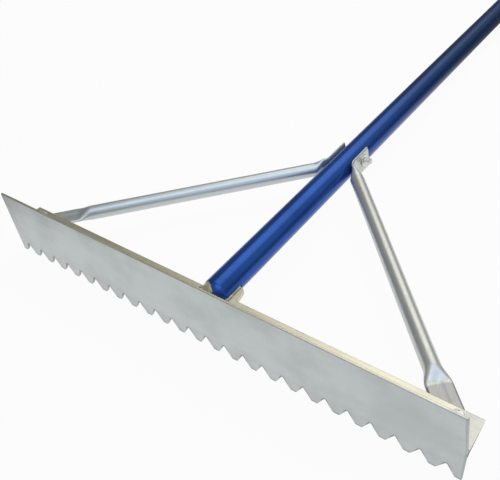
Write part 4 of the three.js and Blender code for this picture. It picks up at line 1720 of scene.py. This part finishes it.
@dataclass
class Studio:
    """The floor, the lamps, the world and the camera."""

    floor_size: float = 30.0
    floor_colour: Triple = (0.62, 0.62, 0.62)
    floor_own_light: float = 0.95
    near_floor: Triple = (1.0, 1.0, 1.0)
    far_floor: Triple = (0.16, 0.16, 0.15)
    floor_middle: float = 0.15
    floor_reach: tuple[float, float] = (0.35, 0.8)
    far_wall: Triple = (0.965, 0.965, 0.965)
    world_light: float = 0.45
    world_colour: Triple = (1.0, 1.0, 1.0)
    ceiling: Triple = (0.5, 0.5, 0.47)
    horizon: Triple = DIM_STUDIO
    horizon_edges: tuple[float, float] = (0.2, 0.5)
    dark_panel: Panel = Panel(DIM_STUDIO, (-0.85, 0.36, 0.38), (0.6, 0.95))
    warm_panel: Panel = Panel((1.5, 1.46, 1.32), (-0.14, 0.6, 0.787), (0.88, 0.97))
    cool_panel: Panel = Panel((1.35, 1.55, 1.95), (0.29, -0.14, 0.947), (0.86, 0.97))
    front_panel: Panel = Panel((0.55, 0.65, 0.78), (0.75, -0.62, 0.22), (0.5, 0.9))
    lamps: tuple[Lamp, ...] = (
        Lamp("key_lamp", (-0.15, 1.3, 2.2), 1.6, 26.0),
        Lamp("fill_lamp", (2.2, -1.2, 1.8), 2.0, 8.0),
    )
    lamp_middle: float = 0.25
    image_width: float = 500.0
    image_height: float = 480.0
    focal_pixels: float = 639.9
    centre_across: float = 271.2
    centre_down: float = 235.3
    sensor: float = 36.0
    clip: tuple[float, float] = (0.02, 100.0)
    camera_place: Triple = (0.3671, -0.3067, 0.5563)
    camera_turn: Triple = (48.625, 4.525, 34.930)

    def backdrop_mask(self, path: bpy.types.Node, graph: Graph) -> Signal:
        """Gives 1 for camera, glossy and transmission rays, and 0 for the rest."""
        rays = [Signal(graph, path.outputs[f"Is {ray} Ray"]) for ray in ("Camera", "Glossy")]
        seen = graph.math("MAXIMUM", *rays)
        return graph.math("MAXIMUM", seen, Signal(graph, path.outputs["Is Transmission Ray"]))

    def wire(self, graph: Graph, output: str, share: Signal, lit: object, own: object) -> None:
        """Mixes a lit shader and one with its own light, and wires the output.

        Args:
            graph: The graph.
            output: The output node's type.
            share: How much of the second shows.
            lit: The first shader node.
            own: The second shader node.
        """
        inputs = {0: share, 1: lit.outputs[0], 2: own.outputs[0]}
        mix = graph.add("ShaderNodeMixShader", inputs)
        graph.add(output, {"Surface": mix.outputs[0]})

    def make_floor(self, head: Head) -> None:
        """Makes the pale floor, which keeps the object's shadow.

        Args:
            head: The head, round which reflections find the floor pale.
        """
        clear_selection()
        bpy.ops.mesh.primitive_plane_add(size=self.floor_size)
        floor = bpy.context.object
        floor.name = "studio_floor"
        material = bpy.data.materials.new("studio_floor")
        material.use_nodes = True
        graph = Graph(material.node_tree)
        path = graph.add("ShaderNodeLightPath")
        matt = graph.add("ShaderNodeBsdfDiffuse", {"Color": self.floor_colour})
        place = graph.signal("ShaderNodeTexCoord", "Object", {})
        middle = xyz(y=head.front + self.floor_middle)
        away = graph.vector("DISTANCE", "Value", place, middle)
        unseen = 1.0 - Signal(graph, path.outputs["Is Camera Ray"])
        far = graph.remap(away, *self.floor_reach) * unseen
        colour = graph.blend(far, self.near_floor, self.far_floor)
        glow = graph.add("ShaderNodeEmission", {"Color": colour})
        share = self.backdrop_mask(path, graph) * self.floor_own_light
        self.wire(graph, "ShaderNodeOutputMaterial", share, matt, glow)
        floor.data.materials.append(material)

    def hang(self, graph: Graph, panel: Panel, behind: Signal | Triple) -> Signal:
        """Hangs a panel in front of what reflections find there.

        Args:
            graph: The world's graph.
            panel: The panel.
            behind: The colour behind it.

        Returns:
            The colour with the panel.
        """
        direction = graph.signal("ShaderNodeTexCoord", "Generated", {})
        close = graph.vector("DOT_PRODUCT", "Value", direction, panel.aim)
        return graph.blend(graph.remap(close, *panel.edges), behind, panel.colour)

    def make_world(self) -> None:
        """Makes the surroundings: white to the camera, with soft panels to reflections."""
        world = bpy.data.worlds.new("studio_world")
        bpy.context.scene.world = world
        world.use_nodes = True
        graph = Graph(world.node_tree)
        path = graph.add("ShaderNodeLightPath")
        level = {"Color": self.world_colour, "Strength": self.world_light}
        soft = graph.add("ShaderNodeBackground", level)
        upper: Signal | Triple = self.ceiling
        for panel in (self.dark_panel, self.warm_panel, self.cool_panel):
            upper = self.hang(graph, panel, upper)
        height = graph.split(graph.signal("ShaderNodeTexCoord", "Generated", {}))[2]
        above = graph.remap(height, *self.horizon_edges)
        around = self.hang(graph, self.front_panel, graph.blend(above, self.horizon, upper))
        seen = Signal(graph, path.outputs["Is Camera Ray"])
        colour = graph.blend(seen, around, self.far_wall)
        shown = graph.add("ShaderNodeBackground", {"Color": colour})
        self.wire(graph, "ShaderNodeOutputWorld", self.backdrop_mask(path, graph), soft, shown)

    def make_lamps(self, head: Head) -> None:
        """Hangs the lamps round the head.

        Args:
            head: The head.
        """
        middle = xyz(y=head.front + self.lamp_middle)
        for lamp in self.lamps:
            data = bpy.data.lights.new(lamp.name, "AREA")
            data.shape = "SQUARE"
            data.size = lamp.size
            data.energy = lamp.power
            hung = bpy.data.objects.new(lamp.name, data)
            bpy.context.scene.collection.objects.link(hung)
            hung.location = middle + Vector(lamp.place)
            hung.rotation_euler = (middle - hung.location).to_track_quat("-Z", "Y").to_euler()
            hung.visible_glossy = False

    def make_camera(self, head: Head) -> None:
        """Sets the camera at the photograph's angle.

        Args:
            head: The head.
        """
        data = bpy.data.cameras.new("photo_camera")
        data.sensor_width = self.sensor
        data.lens = self.focal_pixels / self.image_width * data.sensor_width
        data.shift_x = (self.image_width / 2 - self.centre_across) / self.image_width
        data.shift_y = (self.centre_down - self.image_height / 2) / self.image_width
        data.clip_start, data.clip_end = self.clip
        camera = bpy.data.objects.new("photo_camera", data)
        bpy.context.scene.collection.objects.link(camera)
        camera.location = Vector(self.camera_place) + xyz(y=head.front)
        camera.rotation_euler = Euler([math.radians(a) for a in self.camera_turn])
        bpy.context.scene.camera = camera
        bpy.context.scene.view_settings.view_transform = "Standard"

    def make(self, head: Head) -> None:
        """Makes the whole studio.

        Args:
            head: The head.
        """
        self.make_camera(head)
        self.make_floor(head)
        self.make_world()
        self.make_lamps(head)
        log.info("studio made")


def main() -> None:
    """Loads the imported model, dresses every piece and makes the studio."""
    logging.basicConfig(level=logging.INFO, format="%(name)s %(message)s")
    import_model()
    head = Head()
    handle = Handle()
    braces = Braces()
    Studio().make(head)
    shared = SharedEffects()
    head.make(MillAluminium().build(shared, head))
    handle.make_tube(head, PowderCoat().build(shared, head))
    handle.make_cap(head, BlackPlastic().build(shared, head))
    Weld().make(handle, head, WeldMetal().build(shared, head))
    # the right brace's bolt, round which its flat gets painted shade
    bolt = braces.bolt_foot(head, Side.RIGHT) + xyz(z=head.flange_top)
    braces.make(head, handle, Galvanised(flat_shade_centre=tuple(bolt)).build(shared, head))
    Fasteners().make(head, handle, braces, ZincPlate().build(shared, head))


if __name__ == "__main__":
    main()
